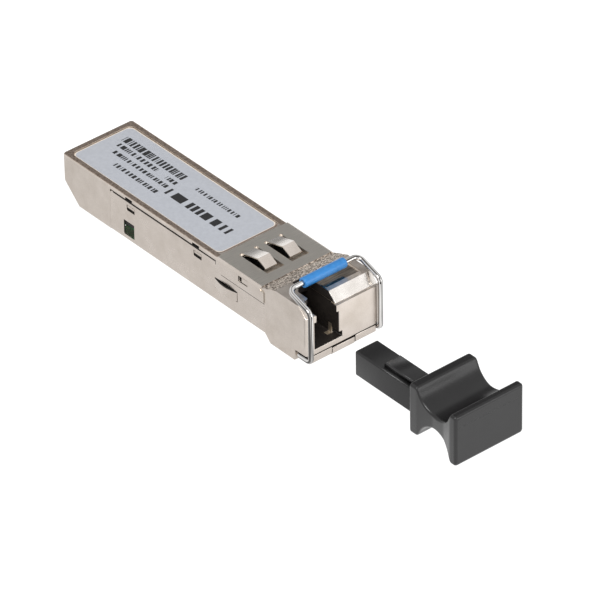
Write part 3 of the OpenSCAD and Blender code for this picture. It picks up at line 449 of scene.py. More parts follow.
def pocket_with_shadow():
    """The pockets under the collar's fingers are a darker brown, with painted shadow in black where a
    finger bridges them.
    """
    material = grained("darker pocket with painted shadow", ("#7d6f63", "#c9bdb0"), 0.3, 3.0, (3, 1, 1), (0.35, 0.65),
                       metallic=1.0, roughness=0.4)
    tree, _, where = parts_of(material)
    bridges = [within(tree, where, x=span, y=BRIDGE_Y) for span in BRIDGE_SPANS]
    # Painted shadow under each finger's bridge.
    mark(material, either(tree, *bridges), "#14110f")
    return material


port_shade = shaded_port_walls()
pocket_floor = pocket_with_shadow()


def on_slope(f):
    """The slope behind the nose's flat top."""
    return slopes_back(f) & (f.z > TOP_Z - NEAR)


def on_coarse_band(f):
    """The slope, and the flat top left of the port."""
    return on_slope(f) | (faces_up(f) & (f.z > LEFT_TOP_Z) & (f.x < LEFT_TOP_X))


def in_finger_pocket(f):
    """The floors of the pockets under the collar's fingers."""
    return faces_up(f) & inside(f, y=(POCKET_Y, COLLAR_END), z=(LIP_Z, TOP_Z - NEAR))


def in_port(f):
    """The port's walls up to the top of the nose, without the slope and the pip that stands on it: painted
    shade.
    """
    plate_top = faces_up(f) & (f.y > POCKET_Y)
    above = (f.z > EAVES_Z) & (on_slope(f) | (f.y > PIP_Y))
    return inside(f, **PORT_ROOM) & ~plate_top & ~above


def on_rubbed_top(f):
    """The flat top right of the port and the sleeve's seat."""
    return faces_up(f) & (f.z > SEAT_Z) & (f.x > PORT_RIGHT) & (f.y < CREST_Y)


def on_ramp(f):
    """The ramp right of the port, which gets a painted highlight."""
    return (f.ny < -0.5) & (f.nz > 0.5) & (f.z > RAMP_Z) & (f.x > PORT_RIGHT)


def on_label_rim(f):
    """The top plate's rim round the label."""
    return faces_up(f) & inside(f, y=(PLATE_Y, BODY_L), z=(TOP_Z - NEAR, TOP_Z + NEAR))


def in_housing_gap(f):
    """The walls behind the shell, the lip's underside over it and the nose's seam with its cover: painted
    shade.
    """
    behind_nose = NOSE_L + 0.1
    wall = faces_aside(f) & amid(np.abs(f.x), WALL_GAP)
    lip = faces_down(f) & amid(f.z, LIP_GAP)
    on_lip = amid(f.z, LIP_GAP) & (f.z > LIP_Z - 0.01) & (np.abs(f.x) > WALL_GAP[0])
    lip_end = (np.abs(f.ny) > SQUARE_ON) & on_lip
    seam = faces_down(f) & amid(f.z, COVER_GAP) & (f.y < behind_nose)
    return (wall | lip | lip_end) & amid(f.y, (behind_nose, SHELL_END)) | seam


def housing_radius(p):
    """Edge radius in mm: soft on the nose and the label's recess, tight on the lip."""
    if p.y < CREST_Y:
        return NOSE_EDGE_R if p.z > 8 or p.z < 2 else NOSE_WALL_R
    if p.z > 8.3 and abs(p.x) < 5.8 and p.y > COLLAR_END:
        return RECESS_R
    return LIP_R


housing = rounded_copy("housing", 0.1, housing_radius)
paint(
    housing,
    (cast_nickel, None),
    (coarse_nickel, on_coarse_band),
    (pocket_floor, in_finger_pocket),
    # The port gets painted shade.
    (port_shade, in_port),
    (rubbed_nickel, on_rubbed_top),
    # The ramp gets a painted highlight.
    (highlight_nickel, on_ramp),
    (brown_rim_nickel, on_label_rim),
    # The gaps get painted shade.
    (gap_shade, in_housing_gap),
)
place(housing, cast_nickel, "module", "die_cast_nickel", "housing")

# ---- Lower cover of the nose ----
# A second, smaller casting from the same alloy, pressed into the nose from below. It holds the
# ends of the bail's wire and the pin that the latch lever turns on.


def in_cover_gap(f):
    """The walls beside the latch lever and the seam with the housing, which get painted shade."""
    return faces_aside(f) & (np.abs(f.x) < 2.5) | faces_up(f) & (f.z > 1.5)


nose_cover = rounded_copy("nose_cover", 0.1)
paint(nose_cover, (cast_nickel, None), (gap_shade, in_cover_gap))
place(nose_cover, cast_nickel, "module", "die_cast_nickel", "nose_cover")

# ---- Latch lever, its pin and its spring ----
# The lever is the third casting. A drawn steel pin carries it, and a leaf of spring steel pushes
# its rear arm down so that the boss stands out of the shell.
latch_lever = rounded_copy("latch_lever", 0.08)
place(latch_lever, cast_nickel, "latch", "die_cast_nickel", "latch_lever")

# Ground spring steel gives the eye a bright grey with fine lines along X.
ground_steel = grained("ground spring steel", ("#9b9894", "#cfccc8"), 0.1, 3.0, (20, 1, 1),
                       metallic=1.0, roughness=0.2)
for name, radius_mm in (("lever_pin", 0.05), ("latch_spring", 0.03)):
    place(rounded_copy(name, radius_mm), ground_steel, "module", "polished_wire", name)

# ---- Bottom shell ----
# Nickel silver sheet, 0.3 mm thick, cut and folded into a trough that snaps over the housing's
# bosses. A spring finger on each side touches the cage.

# What satin_nickel takes for the sheet, and the edges of the collar's wings on it, along which painted
# shadow lines run: the lower one, the rear one, and the cut corner between them as y - z with half its
# line's width.
SHEET = (("#c3b9b0", "#d6cdc5"), 0.24, 0.10, 0.003)
SEAM_W = 0.12
WING_END = 20.24
WING_Z = 5.98
WING_SLANT = 12.99
WING_HALF = 0.08

sheet_nickel = satin_nickel("nickel on folded sheet", *SHEET)


def sheet_with_seam_shadows():
    """The shell's outside is the same sheet with painted shadow lines along its seams: round the collar's
    wings, whose rear corner is cut off on a slant, at the nose and along its top edge."""
    material = satin_nickel("nickel on the shell", *SHEET)
    tree, _, where = parts_of(material)
    parts = add(tree, "ShaderNodeSeparateXYZ", {"Vector": where}).outputs
    slant = calc(tree, "SUBTRACT", parts["Y"], parts["Z"])
    on_slant = calc(tree, "COMPARE", slant, (WING_SLANT - FRONT) * MM, WING_HALF * MM)
    cut_corner = within(tree, where, y=(19.0, WING_END + SEAM_W), z=(WING_Z, 7.35))
    # The painted shadow lines: under the wing, behind it, at the nose and under the lip.
    lines = (
        ((NOSE_L, 19.1), (WING_Z, WING_Z + SEAM_W)),
        ((WING_END, WING_END + SEAM_W), (7.3, 7.9)),
        ((NOSE_L - 0.04, NOSE_L + 0.03), (1.0, 6.0)),
        ((COLLAR_END, 43.6), (7.72, 7.95)),
    )
    straight = [within(tree, where, y=along, z=high) for along, high in lines]
    mark(material, either(tree, calc(tree, "MULTIPLY", on_slant, cut_corner), *straight), "#2a2521")
    return material


def in_shell_gap(f):
    """The sheet's top edge, and the edge of each side finger's slot that looks up: painted shade."""
    return faces_up(f) & ((f.z > 7.8) | inside(f, y=(14.5, 21.5), z=(4.6, 4.9)))


bottom_shell = rounded_copy("bottom_shell", 0.05)
paint(bottom_shell, (sheet_with_seam_shadows(), None), (gap_shade, in_shell_gap))
place(bottom_shell, sheet_nickel, "module", "nickel_sheet", "bottom_shell")

# ---- Grounding collar ----
# Stainless spring sheet, 0.2 mm thick, stamped and folded over the housing behind the nose, with
# two fingers on top that press against the roof of the cage.

# The wings stand further out than WING_X, and the fingers higher than FINGER_Z.
WING_X, FINGER_Z = 6.2, TOP_Z + 0.1

# Stainless sheet brushed across the module gives the eye a dark grey with fine lines along X.
brushed_steel = grained("brushed stainless sheet", ("#cfcac2", "#e8e2d9"), 0.06, 4.0, (40, 1, 1),
                        depth_mm=0.004, metallic=1.0, roughness=0.30)


def on_collar_wing(f):
    """The folded sides, and the fingers."""
    folded = (np.abs(f.nx) > 0.12) & (np.abs(f.x) > WING_X)
    finger = (np.abs(f.ny) > 0.2) & (f.nz > 0.5) & (f.z > FINGER_Z)
    return folded | finger


def on_collar_highlight(f):
    """The fingers' rear slopes and the collar's front edge, which get a painted highlight."""
    front_edge = (f.ny < -SQUARE_ON) & (f.y < COLLAR_Y + 0.1) & (f.z > TOP_Z - 0.1)
    return (slopes_back(f) & (f.z > FINGER_Z)) | front_edge


emi_collar = rounded_copy("emi_collar", 0)
# The collar's fingers' rear slopes and front edge get a painted highlight.
paint(emi_collar, (brushed_steel, None), (sheet_nickel, on_collar_wing), (highlight_nickel, on_collar_highlight))
place(emi_collar, brushed_steel, "module", "stainless_sheet", "emi_collar")

# ---- Label ----
# A film of satin polyester glued into the recess of the top. It carries plain bars where the
# real one is printed: one block of thin bars, rows of short ticks and one row of bold blocks.
# A painted highlight lies as a pale line all round its cut edge.

# Each row of marks: its span across and along, the pitch of its ticks and their threshold.
PRINT = (
    ((2.15, 3.55), (38.8, 52.6), 0.36, 0.45),
    ((0.75, 1.65), (43.0, 52.0), 0.42, 0.47),
    ((0.65, 1.45), (38.4, 40.8), 0.42, 0.47),
    ((-0.85, -0.05), (38.6, 51.0), 0.40, 0.47),
    ((-2.85, -2.0), (38.8, 48.4), 0.40, 0.47),
    ((-1.75, -0.15), (24.0, 38.0), 1.10, 0.46),
    ((2.1, 2.85), (26.0, 35.8), 0.38, 0.51),
)
TICK_STRETCH = (400, 1, 400)


def framed(tree, where, middle, half, radius):
    """1 inside a rounded rectangle seen from above, length(max(|p - middle| - (half - radius), 0)) <
    radius, in mm with y from the front face."""
    steps = (("SUBTRACT", (middle[0] * MM, (middle[1] - FRONT) * MM, 0)), ("ABSOLUTE", None),
             ("SUBTRACT", ((half[0] - radius) * MM, (half[1] - radius) * MM, 1)), ("MAXIMUM", (0, 0, 0)))
    value = where
    for operation, other in steps:
        inputs = {0: value} if other is None else {0: value, 1: other}
        value = add(tree, "ShaderNodeVectorMath", inputs, operation=operation).outputs["Vector"]
    away = add(tree, "ShaderNodeVectorMath", {0: value}, operation="LENGTH").outputs["Value"]
    return calc(tree, "LESS_THAN", away, radius * MM)


def printed_row(tree, where, across, along, pitch_mm, threshold):
    """1 on the ticks of one row of marks."""
    ticks = speckle(tree, where, pitch_mm, 0.0, TICK_STRETCH)
    inked = calc(tree, "GREATER_THAN", ticks, threshold)
    return calc(tree, "MULTIPLY", inked, within(tree, where, x=across, y=along))


def printed_film():
    """The pale film with its marks, a painted highlight as a pale line on its cut edge, the brown rim
    outside.
    """
    material = grained("satin polyester film", ("#b3b6bd", "#bbbec5"), 0.5, 4.0, depth_mm=0.003,
                       roughness=0.42)
    tree, shader, where = parts_of(material)
    cad_corners = np.array(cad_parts["label"].bound_box) / MM
    low, high = cad_corners.min(0), cad_corners.max(0)
    half_w, half_l = (high[0] - low[0]) / 2, (high[1] - low[1]) / 2
    middle_y = (low[1] + high[1]) / 2 + FRONT
    mark(material, either(tree, *[printed_row(tree, where, *row) for row in PRINT]), "#121214")
    plain = shader.inputs["Base Color"].links[0].from_socket
    inner = framed(tree, where, (0.0, middle_y + 0.15), (half_w - 0.16, half_l - 0.31), 0.9)
    outer = framed(tree, where, (0.0, middle_y + 0.2), (half_w + 0.05, half_l - 0.15), 1.0)
    # Between inner and outer lies the painted highlight, and outside outer the brown rim.
    with_edge_highlight = over(tree, outer, "#7d6c60", over(tree, inner, "#e9dfd3", plain))
    tree.links.new(with_edge_highlight, shader.inputs["Base Color"])
    return material


place(rounded_copy("label", 0.03), printed_film(), "module", "label_film", "label")

# ---- Optics ----
# A turned steel receptacle with a ceramic sleeve and a fibre stub inside, a machined block behind
# it, and the two sealed cans with their amber flex strips.
turned_steel = grained("turned stainless steel", ("#c9c3b4", "#e0dacb"), 0.08, depth_mm=0.003,
                       metallic=1.0, roughness=0.22)
zirconia = grained("ground zirconia", ("#ece8de", "#f6f3ec"), 0.05, roughness=0.18)
gilt = grained("thin gold plating", ("#c79f4c", "#e2c073"), 0.4, 4.0, depth_mm=0.004,
               metallic=1.0, roughness=0.25)
amber = grained("amber polyimide film", ("#a8611f", "#c47d33"), 0.6, roughness=0.35)
OPTICS = (
    ("receptacle", turned_steel, "receptacle_steel", 0.06),
    ("split_sleeve", zirconia, "ceramic", 0.02),
    ("fibre_stub", zirconia, "ceramic", 0.05),
    ("optical_block", gilt, "gold_plate", 0.15),
    ("laser_can", gilt, "gold_plate", 0.05),
    ("receiver_can", gilt, "gold_plate", 0.05),
    ("laser_flex", amber, "flex_film", 0.02),
    ("receiver_flex", amber, "flex_film", 0.02),
)

# ---- Circuit board ----
# Glass-fibre board under green solder resist, with gold plug-in contacts at the rear and moulded
# chips and ceramic chip components on top.
solder_resist = grained("green solder resist", ("#17542f", "#22713f"), 0.25, 3.0, (1, 3, 1),
                        depth_mm=0.006, roughness=0.3)
epoxy = grained("moulded epoxy", ("#232325", "#303033"), 0.06, 4.0, depth_mm=0.006, roughness=0.55)
fired_ceramic = grained("fired chip ceramic", ("#a1805a", "#bf9d75"), 0.1)
BOARD = (
    ("circuit_board", solder_resist, "board_green", 0.05),
    ("contacts_top", gilt, "gold_plate", 0.01),
    ("contacts_bottom", gilt, "gold_plate", 0.01),
    ("driver_chip", epoxy, "chip_black", 0.04),
    ("controller_chip", epoxy, "chip_black", 0.04),
    ("memory_chip", epoxy, "chip_black", 0.04),
    ("passives", fired_ceramic, "passive_tan", 0.03),
)
for name, material, slot, radius_mm in OPTICS + BOARD:
    place(rounded_copy(name, radius_mm), material, "module", slot, name)

# ---- Bail ----
# One length of polished spring wire, 0.8 mm thick, bent round the nose. Its ends turn inwards
# into the lower cover, and its crossbar carries a slid-on sleeve of blue plastic.


def unit(v):
    """v divided by its length, along the last axis."""
    return v / np.linalg.norm(v, axis=-1, keepdims=True)


def ring(count, offset=0.0):
    """count even angles round a circle, the first offset steps from 0."""
    return (np.arange(count) + offset) / count * 2 * math.pi


def quarter(count):
    """count even angles from 0 to a right angle."""
    return np.linspace(0, math.pi / 2, count)


def surface(name, points, closed_u=False, caps=(False, False)):
    """A mesh through a grid of points (rows, columns, xyz) in mm, closed round its columns; a cap
    fills the first or the last row with a fan round its middle."""
    rows, cols = points.shape[:2]
    index = np.arange(rows * cols).reshape(rows, cols)
    across = np.concatenate([index, index[:, :1]], 1)
    down = np.concatenate([across, across[:1]], 0) if closed_u else across
    quads = np.stack([down[:-1, :-1], down[:-1, 1:], down[1:, 1:], down[1:, :-1]], -1).reshape(-1, 4)
    faces = [tuple(q) for q in quads.tolist()]
    verts = points.reshape(-1, 3)
    for row, wanted, turn in ((0, caps[0], 1), (rows - 1, caps[1], -1)):
        if wanted:
            verts = np.concatenate([verts, points[row].mean(0)[None]])
            middle = len(verts) - 1
            after = np.roll(index[row], -1)
            faces += [(middle, a, b)[::turn] for a, b in zip(after.tolist(), index[row].tolist())]
    mesh = bpy.data.meshes.new(name)
    mesh.from_pydata((verts * MM).tolist(), [], faces)
    mesh.update()
    shape = bmesh.new()
    shape.from_mesh(mesh)
    bmesh.ops.recalc_face_normals(shape, faces=shape.faces)
    shape.to_mesh(mesh)
    shape.free()
    mesh.polygons.foreach_set("use_smooth", np.arange(len(mesh.polygons)) < len(quads))
    piece = bpy.data.objects.new(name, mesh)
    bpy.context.scene.collection.objects.link(piece)
    return piece


def bent_path(corners, radii, steps=16):
    """Straight runs between the corners, each inner corner replaced by an arc tangent to both runs:
    c - n r cos(s) + u r sin(s) for s from 0 to the turn, with n towards the inside of the bend."""
    corners = np.array(corners, float)
    path = [corners[:1]]
    for i in range(1, len(corners) - 1):
        u, v = unit(corners[i] - corners[i - 1]), unit(corners[i + 1] - corners[i])
        turn = math.acos(float(np.clip(u @ v, -1, 1)))
        n = unit(v - (v @ u) * u)
        centre = corners[i] - u * radii[i] * math.tan(turn / 2) + n * radii[i]
        s = np.linspace(0, turn, steps + 1)[:, None]
        path.append(centre - n * radii[i] * np.cos(s) + u * radii[i] * np.sin(s))
    path.append(corners[-1:])
    return np.concatenate(path)


def map_tube(wire, path, radius, around):
    """Gives a tube the map "along and round": U is the length along its path and V the length round
    it, both in mm. Where a face closes the ring, its first column counts as one past the last."""
    gone = np.concatenate([[0.0], np.cumsum(np.linalg.norm(np.diff(path, axis=0), axis=1))])
    vertex = read(wire.data.loops, "vertex_index", kind=np.int32)
    row, column = np.divmod(np.minimum(vertex, len(path) * around - 1), around)
    first = np.minimum(np.arange(len(vertex)) // 4 * 4, len(vertex) - 4)
    last_column = np.stack([column[first + k] for k in range(4)]).max(0)
    wraps = (last_column == around - 1) & (column == 0)
    turned = np.where(wraps, around, column) * (2 * math.pi * radius / around)
    spots = np.stack([gone[row], turned], 1).ravel().astype(np.float32)
    wire.data.uv_layers.new(name="along and round").data.foreach_set("uv", spots)


def tube(name, path, radius, around=32):
    """A circle of the given radius carried along the path, its side direction kept from twisting."""
    along = unit(np.gradient(path, axis=0))
    side = np.empty_like(path)
    side[0] = unit(np.cross(along[0], [0.0, 0.0, 1.0]))
    for i in range(1, len(path)):
        side[i] = unit(side[i - 1] - (side[i - 1] @ along[i]) * along[i])
    other = np.cross(along, side)
    a = ring(around)[None, :, None]
    rim = radius * (np.cos(a) * side[:, None] + np.sin(a) * other[:, None])
    wire = surface(name, path[:, None] + rim, caps=(True, True))
    map_tube(wire, path, radius, around)
    return wire


WIRE_R = 0.4
PIVOT_X, PIVOT_Y, PIVOT_Z = 4.85, 2.3, 1.05
LEG_X, LEG_Y, KNEE_Z, BAR_Y, BAR_Z = 6.5, -0.45, 9.6, 4.3, 11.2
BEND_RADII = (0, 0.5, 0.8, 1.1, 1.1)  # from the pivot's end to the crossbar
SLEEVE_R, SLEEVE_L, END_R, SLEEVE_GAP, SLEEVE_SIDES = 0.8, 7.8, 0.18, 0.01, 48


def drawn_finish():
    """Drawn and polished spring wire gives the eye a mirror with lines along it: die lines and painted
    reflection.
    """
    material = finish_of("polished spring wire")
    tree, shader, _ = parts_of(material)
    round_map = add(tree, "ShaderNodeUVMap", uv_map="along and round").outputs["UV"]
    drawn_out = add(tree, "ShaderNodeMapping", {"Vector": round_map, "Scale": (0.02, 1, 1)})
    inputs = {"Vector": drawn_out.outputs["Vector"], "Scale": 3.2, "Detail": 2.0}
    lines_and_reflections = add(tree, "ShaderNodeTexNoise", inputs).outputs["Fac"]
    # Part die lines, part painted reflection streaks along the wire.
    shade = between(tree, lines_and_reflections, (0.38, 0.54), ("#5c5a58", "#dad8d6"))
    tree.links.new(shade, shader.inputs["Base Color"])
    shader.inputs["Metallic"].default_value = 1.0
    shader.inputs["Roughness"].default_value = 0.1
    return material


def sleeve_points():
    """The sleeve's outline, its two outer ends rounded, spun round the crossbar."""
    bend = quarter(7)
    half, flat = SLEEVE_L / 2 - END_R, SLEEVE_R - END_R
    bore_r = WIRE_R + SLEEVE_GAP
    outline = np.concatenate([
        np.stack([-half - END_R * np.cos(bend), flat + END_R * np.sin(bend)], 1),
        np.stack([half + END_R * np.sin(bend), flat + END_R * np.cos(bend)], 1),
        [(half + END_R, bore_r), (-half - END_R, bore_r)],
    ])
    spin = ring(SLEEVE_SIDES)
    x = np.repeat(outline[:, :1], SLEEVE_SIDES, 1)
    y = BAR_Y - FRONT + outline[:, 1:] * np.cos(spin)
    return np.stack([x, y, BAR_Z + outline[:, 1:] * np.sin(spin)], -1)


right_side = [(PIVOT_X, PIVOT_Y, PIVOT_Z), (LEG_X, PIVOT_Y, PIVOT_Z), (LEG_X, LEG_Y, PIVOT_Z),
              (LEG_X, LEG_Y, KNEE_Z), (LEG_X, BAR_Y, BAR_Z)]
left_side = [(-x, y, z) for x, y, z in reversed(right_side)]
wire_path = bent_path(np.array(right_side + left_side) - (0, FRONT, 0), BEND_RADII + BEND_RADII[::-1])
place(tube("bail_wire_look", wire_path, WIRE_R), drawn_finish(), "bail", "polished_wire", "bail_wire")

# Smooth moulded plastic gives the eye a clear blue with one soft highlight along it.
blue_plastic = grained("blue moulded sleeve", ("#2a78bb", "#3486cb"), 0.8, depth_mm=0.004, roughness=0.32)
bail_sleeve = surface("bail_sleeve_look", sleeve_points(), closed_u=True)
place(bail_sleeve, blue_plastic, "bail", "blue_sleeve", "bail_sleeve")

# ---- Dust plug ----
# One moulding of black plastic: a square shank that fills the port, with a rib that fits the
# latch slot, and a spool-shaped grip between a flange and a broad plate. SINK and RIB_SINK are how
# far the shank goes into the grip and the rib into the shank.
PORT_X, PORT_Z = -3.125, 4.88


def rounded_section(half_w, half_h, r, around):
    """Rectangle of half sizes half_w and half_h with corners of radius r, as around points: each is
    its quarter's corner centre plus r in the direction of an even angle."""
    a = ring(around, 0.5)
    sector = np.arange(around) // (around // 4)
    sign_x = np.where((sector == 0) | (sector == 3), 1, -1)
    sign_z = np.where(sector < 2, 1, -1)
    return np.stack([sign_x * (half_w - r) + r * np.cos(a), sign_z * (half_h - r) + r * np.sin(a)], -1)


def smooth(values, reach):
    """Running mean over 2 reach + 1 samples, applied twice, the ends held."""
    kernel = np.ones(2 * reach + 1) / (2 * reach + 1)
    for _ in range(2):
        values = np.convolve(np.pad(values, reach, mode="edge"), kernel, "valid")
    return values


PLUG_OUT = 20.5
PLUG_Y = -PLUG_OUT - FRONT
AROUND, GRIP_STEPS = 96, 241
GRIP_L, GRIP_H, GRIP_DROP = 10.7, 8.4, 0.88
FLANGE_W, FLANGE_T = 11.3, 1.7
PLATE_W, PLATE_T = 12.7, 1.3
WAIST_AT, WAIST_W = 0.45, FLANGE_W - 0.4
FLARE_AT, FLARE_W = 0.7, FLANGE_W + 0.2
SADDLE = 3.0
GRIP_R = 0.45
SHANK_HALF, SHANK_L, SHANK_R = 2.1, 12.0, 0.3
BORE_R, BORE_L = 1.65, 8.0
RIB_W, RIB_H, RIB_L, RIB_R, RIB_FALL = 2.8, 0.8, 6.4, 0.15, 0.3
SINK, RIB_SINK = 0.2, 0.1
DIMPLE = {"x": (-5.8, -5.45), "y": (-21.65, -21.05), "z": (2.75, 3.65)}
PARTING = {"x": (-7, 7), "y": (-32, -31), "z": (6.2, 6.3)}


def moulded_black():
    """Satin black moulding gives the eye a dark neutral with a broad, soft sheen and a fine grain. It
    has a dimple on the flange's left side and a parting line across the plate's face."""
    material = grained("satin black moulding", ("#0e0d0e", "#131213"), 2.5, roughness=0.3)
    tree, shader, where = parts_of(material)
    marks = either(tree, within(tree, where, **DIMPLE), within(tree, where, **PARTING))
    mark(material, marks, "#0a0a0a")
    skin = relief(tree, speckle(tree, where, 0.09, 4.0), 0.006)
    dented = add(tree, "ShaderNodeBump", {"Height": marks, "Distance": -0.1 * MM, "Normal": skin})
    tree.links.new(dented.outputs["Normal"], shader.inputs["Normal"])
    shader.inputs["Specular IOR Level"].default_value = 0.45
    return material


def grip_points():
    """The spool: its height dips as a round saddle between flange and plate, its width narrows to a
    waist and flares to the plate, and both ends are rounded."""
    chord = GRIP_L - FLANGE_T - PLATE_T
    saddle_r = (chord ** 2 / 4 + SADDLE ** 2) / (2 * SADDLE)
    y = np.linspace(0, -GRIP_L, GRIP_STEPS)
    from_middle = np.clip(np.abs(y + FLANGE_T + chord / 2), 0, chord / 2)
    dip = np.sqrt(saddle_r ** 2 - from_middle ** 2) - (saddle_r - SADDLE)
    half_h = smooth(GRIP_H / 2 - dip, reach=4)
    stations = [0, FLANGE_T, GRIP_L * WAIST_AT, GRIP_L * FLARE_AT, GRIP_L - PLATE_T, GRIP_L]
    widths = np.array([FLANGE_W, FLANGE_W, WAIST_W, FLARE_W, PLATE_W, PLATE_W])
    half_w = smooth(np.interp(-y, stations, widths / 2), reach=5)
    from_end = np.clip(np.minimum(-y, GRIP_L + y), 0, GRIP_R)
    inset = GRIP_R - np.sqrt(GRIP_R ** 2 - (GRIP_R - from_end) ** 2)
    sections = np.stack([rounded_section(w, h, GRIP_R, AROUND)
                         for w, h in zip(half_w - inset, half_h - inset)])
    deep = np.repeat(y[:, None] + PLUG_Y, AROUND, 1)
    return np.stack([sections[..., 0], deep, sections[..., 1] + PORT_Z - GRIP_DROP], -1)


def shank_points():
    """The square shank from the flange to its rounded tip, and back down its round bore."""
    tip = [(SHANK_L - SHANK_R + SHANK_R * math.sin(t), SHANK_R - SHANK_R * math.cos(t)) for t in quarter(6)]
    outside = [(-SINK, 0)] + tip
    sections = [(along, rounded_section(SHANK_HALF - cut_in, SHANK_HALF - cut_in, SHANK_R, AROUND))
                for along, cut_in in outside]
    t = ring(AROUND, 0.5)
    bore = np.stack([BORE_R * np.cos(t), BORE_R * np.sin(t)], -1)
    sections += [(SHANK_L, bore), (SHANK_L - BORE_L, bore)]
    return np.stack([np.insert(flat + (PORT_X, PORT_Z), 1, along + PLUG_Y, axis=1)
                     for along, flat in sections])


def rib_points():
    """The rib on the shank, its upper edges rounded and its front end falling a little."""
    t = quarter(5)
    flat_w, flat_h = RIB_W / 2 - RIB_R, RIB_H - RIB_R
    profile = np.concatenate([
        [(-RIB_W / 2, -RIB_SINK)],
        np.stack([-flat_w - RIB_R * np.cos(t), flat_h + RIB_R * np.sin(t)], 1),
        np.stack([flat_w + RIB_R * np.sin(t), flat_h + RIB_R * np.cos(t)], 1),
        [(RIB_W / 2, -RIB_SINK)],
    ])
    along = np.array([-SINK, RIB_L - RIB_FALL, RIB_L])
    fall = np.array([0, 0, RIB_FALL])[:, None] * (profile[:, 1] > 0)
    across = np.repeat(profile[None, :, 0] + PORT_X, len(along), 0)
    deep = np.repeat(along[:, None] + PLUG_Y, len(profile), 1)
    return np.stack([across, deep, profile[None, :, 1] + PORT_Z + SHANK_HALF - fall], -1)


black_plastic = moulded_black()
grip = surface("plug_grip", grip_points(), caps=(True, True))
shank = surface("plug_shank", shank_points(), caps=(True, True))
rib = surface("plug_rib", rib_points(), caps=(True, True))
for piece in (grip, shank, rib):
    place(piece, black_plastic, "plug", "plug_black")
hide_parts("dust_plug")

# ---- Floor, light and camera ----
# A plain white sweep under soft lamps, seen from the photograph's angle. All is in metres here. The
# paper's mirrored glow goes from GLOW_FAR to GLOW_NEAR, each a y and a strength; the flag is a
# direction and two angles from it in degrees; a lamp has its place, its size and its watts.
FLOOR_HALF = 3
PAPER_SHARE, PAPER_GLOW = 0.8, 1.3
GLOW_FAR, GLOW_NEAR = (-0.036, 1.55), (-0.028, 0.94)
ROOM_LIGHT, FLAG_LIGHT = 0.55, 0.24
FLAG = (0.515, 0.637, 0.573)
FLAG_EDGE, FLAG_CORE = 21, 13
LAMPS = (
    ("key", (-0.35, -0.25, 0.55), 0.35, 3.0),
    ("fill", (0.25, -0.75, 0.12), 0.5, 2.0),
)


def straight_rays(tree):
    """The ray's kinds, and 1 for what the camera sees directly, in a mirror or through glass."""
    rays = tree.nodes.new("ShaderNodeLightPath").outputs
    return rays, either(tree, rays["Is Camera Ray"], rays["Is Glossy Ray"], rays["Is Transmission Ray"])


def glowing_paper():
    """White paper that glows for straight rays. Mirrors see it bright well in front of the module and
    dimmer from GLOW_NEAR on."""
    material = finish_of("white paper sweep")
    tree, shader, where = parts_of(material)
    rays, seen = straight_rays(tree)
    share = calc(tree, "MULTIPLY", seen, PAPER_SHARE)
    shader.inputs["Base Color"].default_value = (0.9, 0.9, 0.9, 1)
    shader.inputs["Roughness"].default_value = 0.9
    deep = add(tree, "ShaderNodeSeparateXYZ", {"Vector": where}).outputs["Y"]
    (far_y, far_glow), (near_y, near_glow) = GLOW_FAR, GLOW_NEAR
    mirrored = add(tree, "ShaderNodeMapRange", {"Value": deep, "From Min": far_y, "From Max": near_y,
                                                "To Min": far_glow, "To Max": near_glow})
    strength = blend(tree, rays["Is Glossy Ray"], PAPER_GLOW, mirrored.outputs["Result"])
    glow = add(tree, "ShaderNodeEmission", {"Color": (1, 1, 1, 1), "Strength": strength})
    both = add(tree, "ShaderNodeMixShader", {0: share, 1: shader.outputs[0], 2: glow.outputs[0]})
    tree.links.new(both.outputs[0], tree.nodes["Material Output"].inputs["Surface"])
    return material


def light_world():
    """An even white room. A dark flag hangs high behind the module, where only its shiny tops mirror it."""
    world = bpy.data.worlds.new("studio")
    bpy.context.scene.world = world
    world.use_nodes = True
    tree = world.node_tree
    rays, seen = straight_rays(tree)
    outward = tree.nodes.new("ShaderNodeTexCoord").outputs["Generated"]
    toward = add(tree, "ShaderNodeVectorMath", {0: outward, 1: FLAG}, operation="DOT_PRODUCT")
    edge, core = (math.cos(math.radians(angle)) for angle in (FLAG_EDGE, FLAG_CORE))
    flag = add(tree, "ShaderNodeMapRange", {"Value": toward.outputs["Value"], "From Min": edge,
                                            "From Max": core, "To Min": 1.0, "To Max": FLAG_LIGHT})
    mirrored = blend(tree, rays["Is Glossy Ray"], 1.0, flag.outputs["Result"])
    background = tree.nodes["Background"].inputs
    tree.links.new(blend(tree, seen, ROOM_LIGHT, mirrored), background["Strength"])
    background["Color"].default_value = (1, 1, 1, 1)


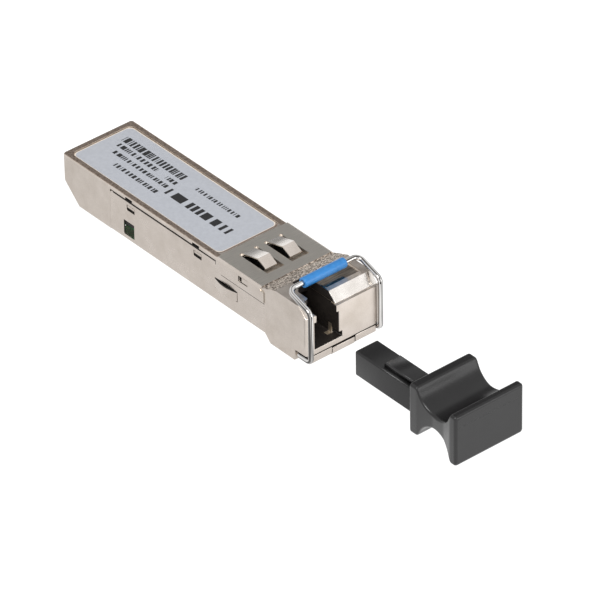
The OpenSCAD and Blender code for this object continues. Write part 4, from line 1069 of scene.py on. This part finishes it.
def add_lamp(name, where, size, power):
    """A square lamp that faces the origin."""
    lamp = bpy.data.lights.new(name, "AREA")
    lamp.size = size
    lamp.energy = power
    stand = bpy.data.objects.new(name, lamp)
    stand.location = where
    stand.rotation_euler = (-Vector(where)).to_track_quat("-Z", "Y").to_euler()
    bpy.context.scene.collection.objects.link(stand)


floor_z = cad_box[0][2]
floor_mesh = bpy.data.meshes.new("floor")
corners = ((-1, -1), (1, -1), (1, 1), (-1, 1))
floor_mesh.from_pydata([(x * FLOOR_HALF, y * FLOOR_HALF, floor_z) for x, y in corners], [], [(0, 1, 2, 3)])
floor_mesh.materials.append(glowing_paper())
floor = bpy.data.objects.new("floor", floor_mesh)
bpy.context.scene.collection.objects.link(floor)
light_world()
for lamp in LAMPS:
    add_lamp(*lamp)

# The lens and the place of the camera follow from the module's known sizes in the photograph.
PHOTO_PX = 600
SHIFT_PX = (82.433, -59.001)
TURN, TILT, ROLL = (math.radians(d) for d in (-38.971, 34.969, -1.351))
AIM = Vector((0, 0.0003, 0.0042))
AWAY = 1.011213
LENS_MM, SENSOR_MM = 420, 36

back = Vector((math.sin(TURN) * math.cos(TILT), -math.cos(TURN) * math.cos(TILT), math.sin(TILT)))
across = Vector((math.cos(TURN), math.sin(TURN), 0))
up = back.cross(across)
right_hand = across * math.cos(ROLL) + up * math.sin(ROLL)
upward = up * math.cos(ROLL) - across * math.sin(ROLL)
lens = bpy.data.cameras.new("camera")
lens.lens = LENS_MM
lens.sensor_width = SENSOR_MM
lens.shift_x, lens.shift_y = (shift / PHOTO_PX for shift in SHIFT_PX)
lens.clip_start, lens.clip_end = 0.05, 20
camera = bpy.data.objects.new("camera", lens)
camera.matrix_world = Matrix((
    (right_hand.x, upward.x, back.x, AIM.x + back.x * AWAY),
    (right_hand.y, upward.y, back.y, AIM.y + back.y * AWAY),
    (right_hand.z, upward.z, back.z, AIM.z + back.z * AWAY),
    (0, 0, 0, 1),
))
bpy.context.scene.collection.objects.link(camera)
bpy.context.scene.camera = camera
bpy.context.scene.view_settings.view_transform = "Standard"
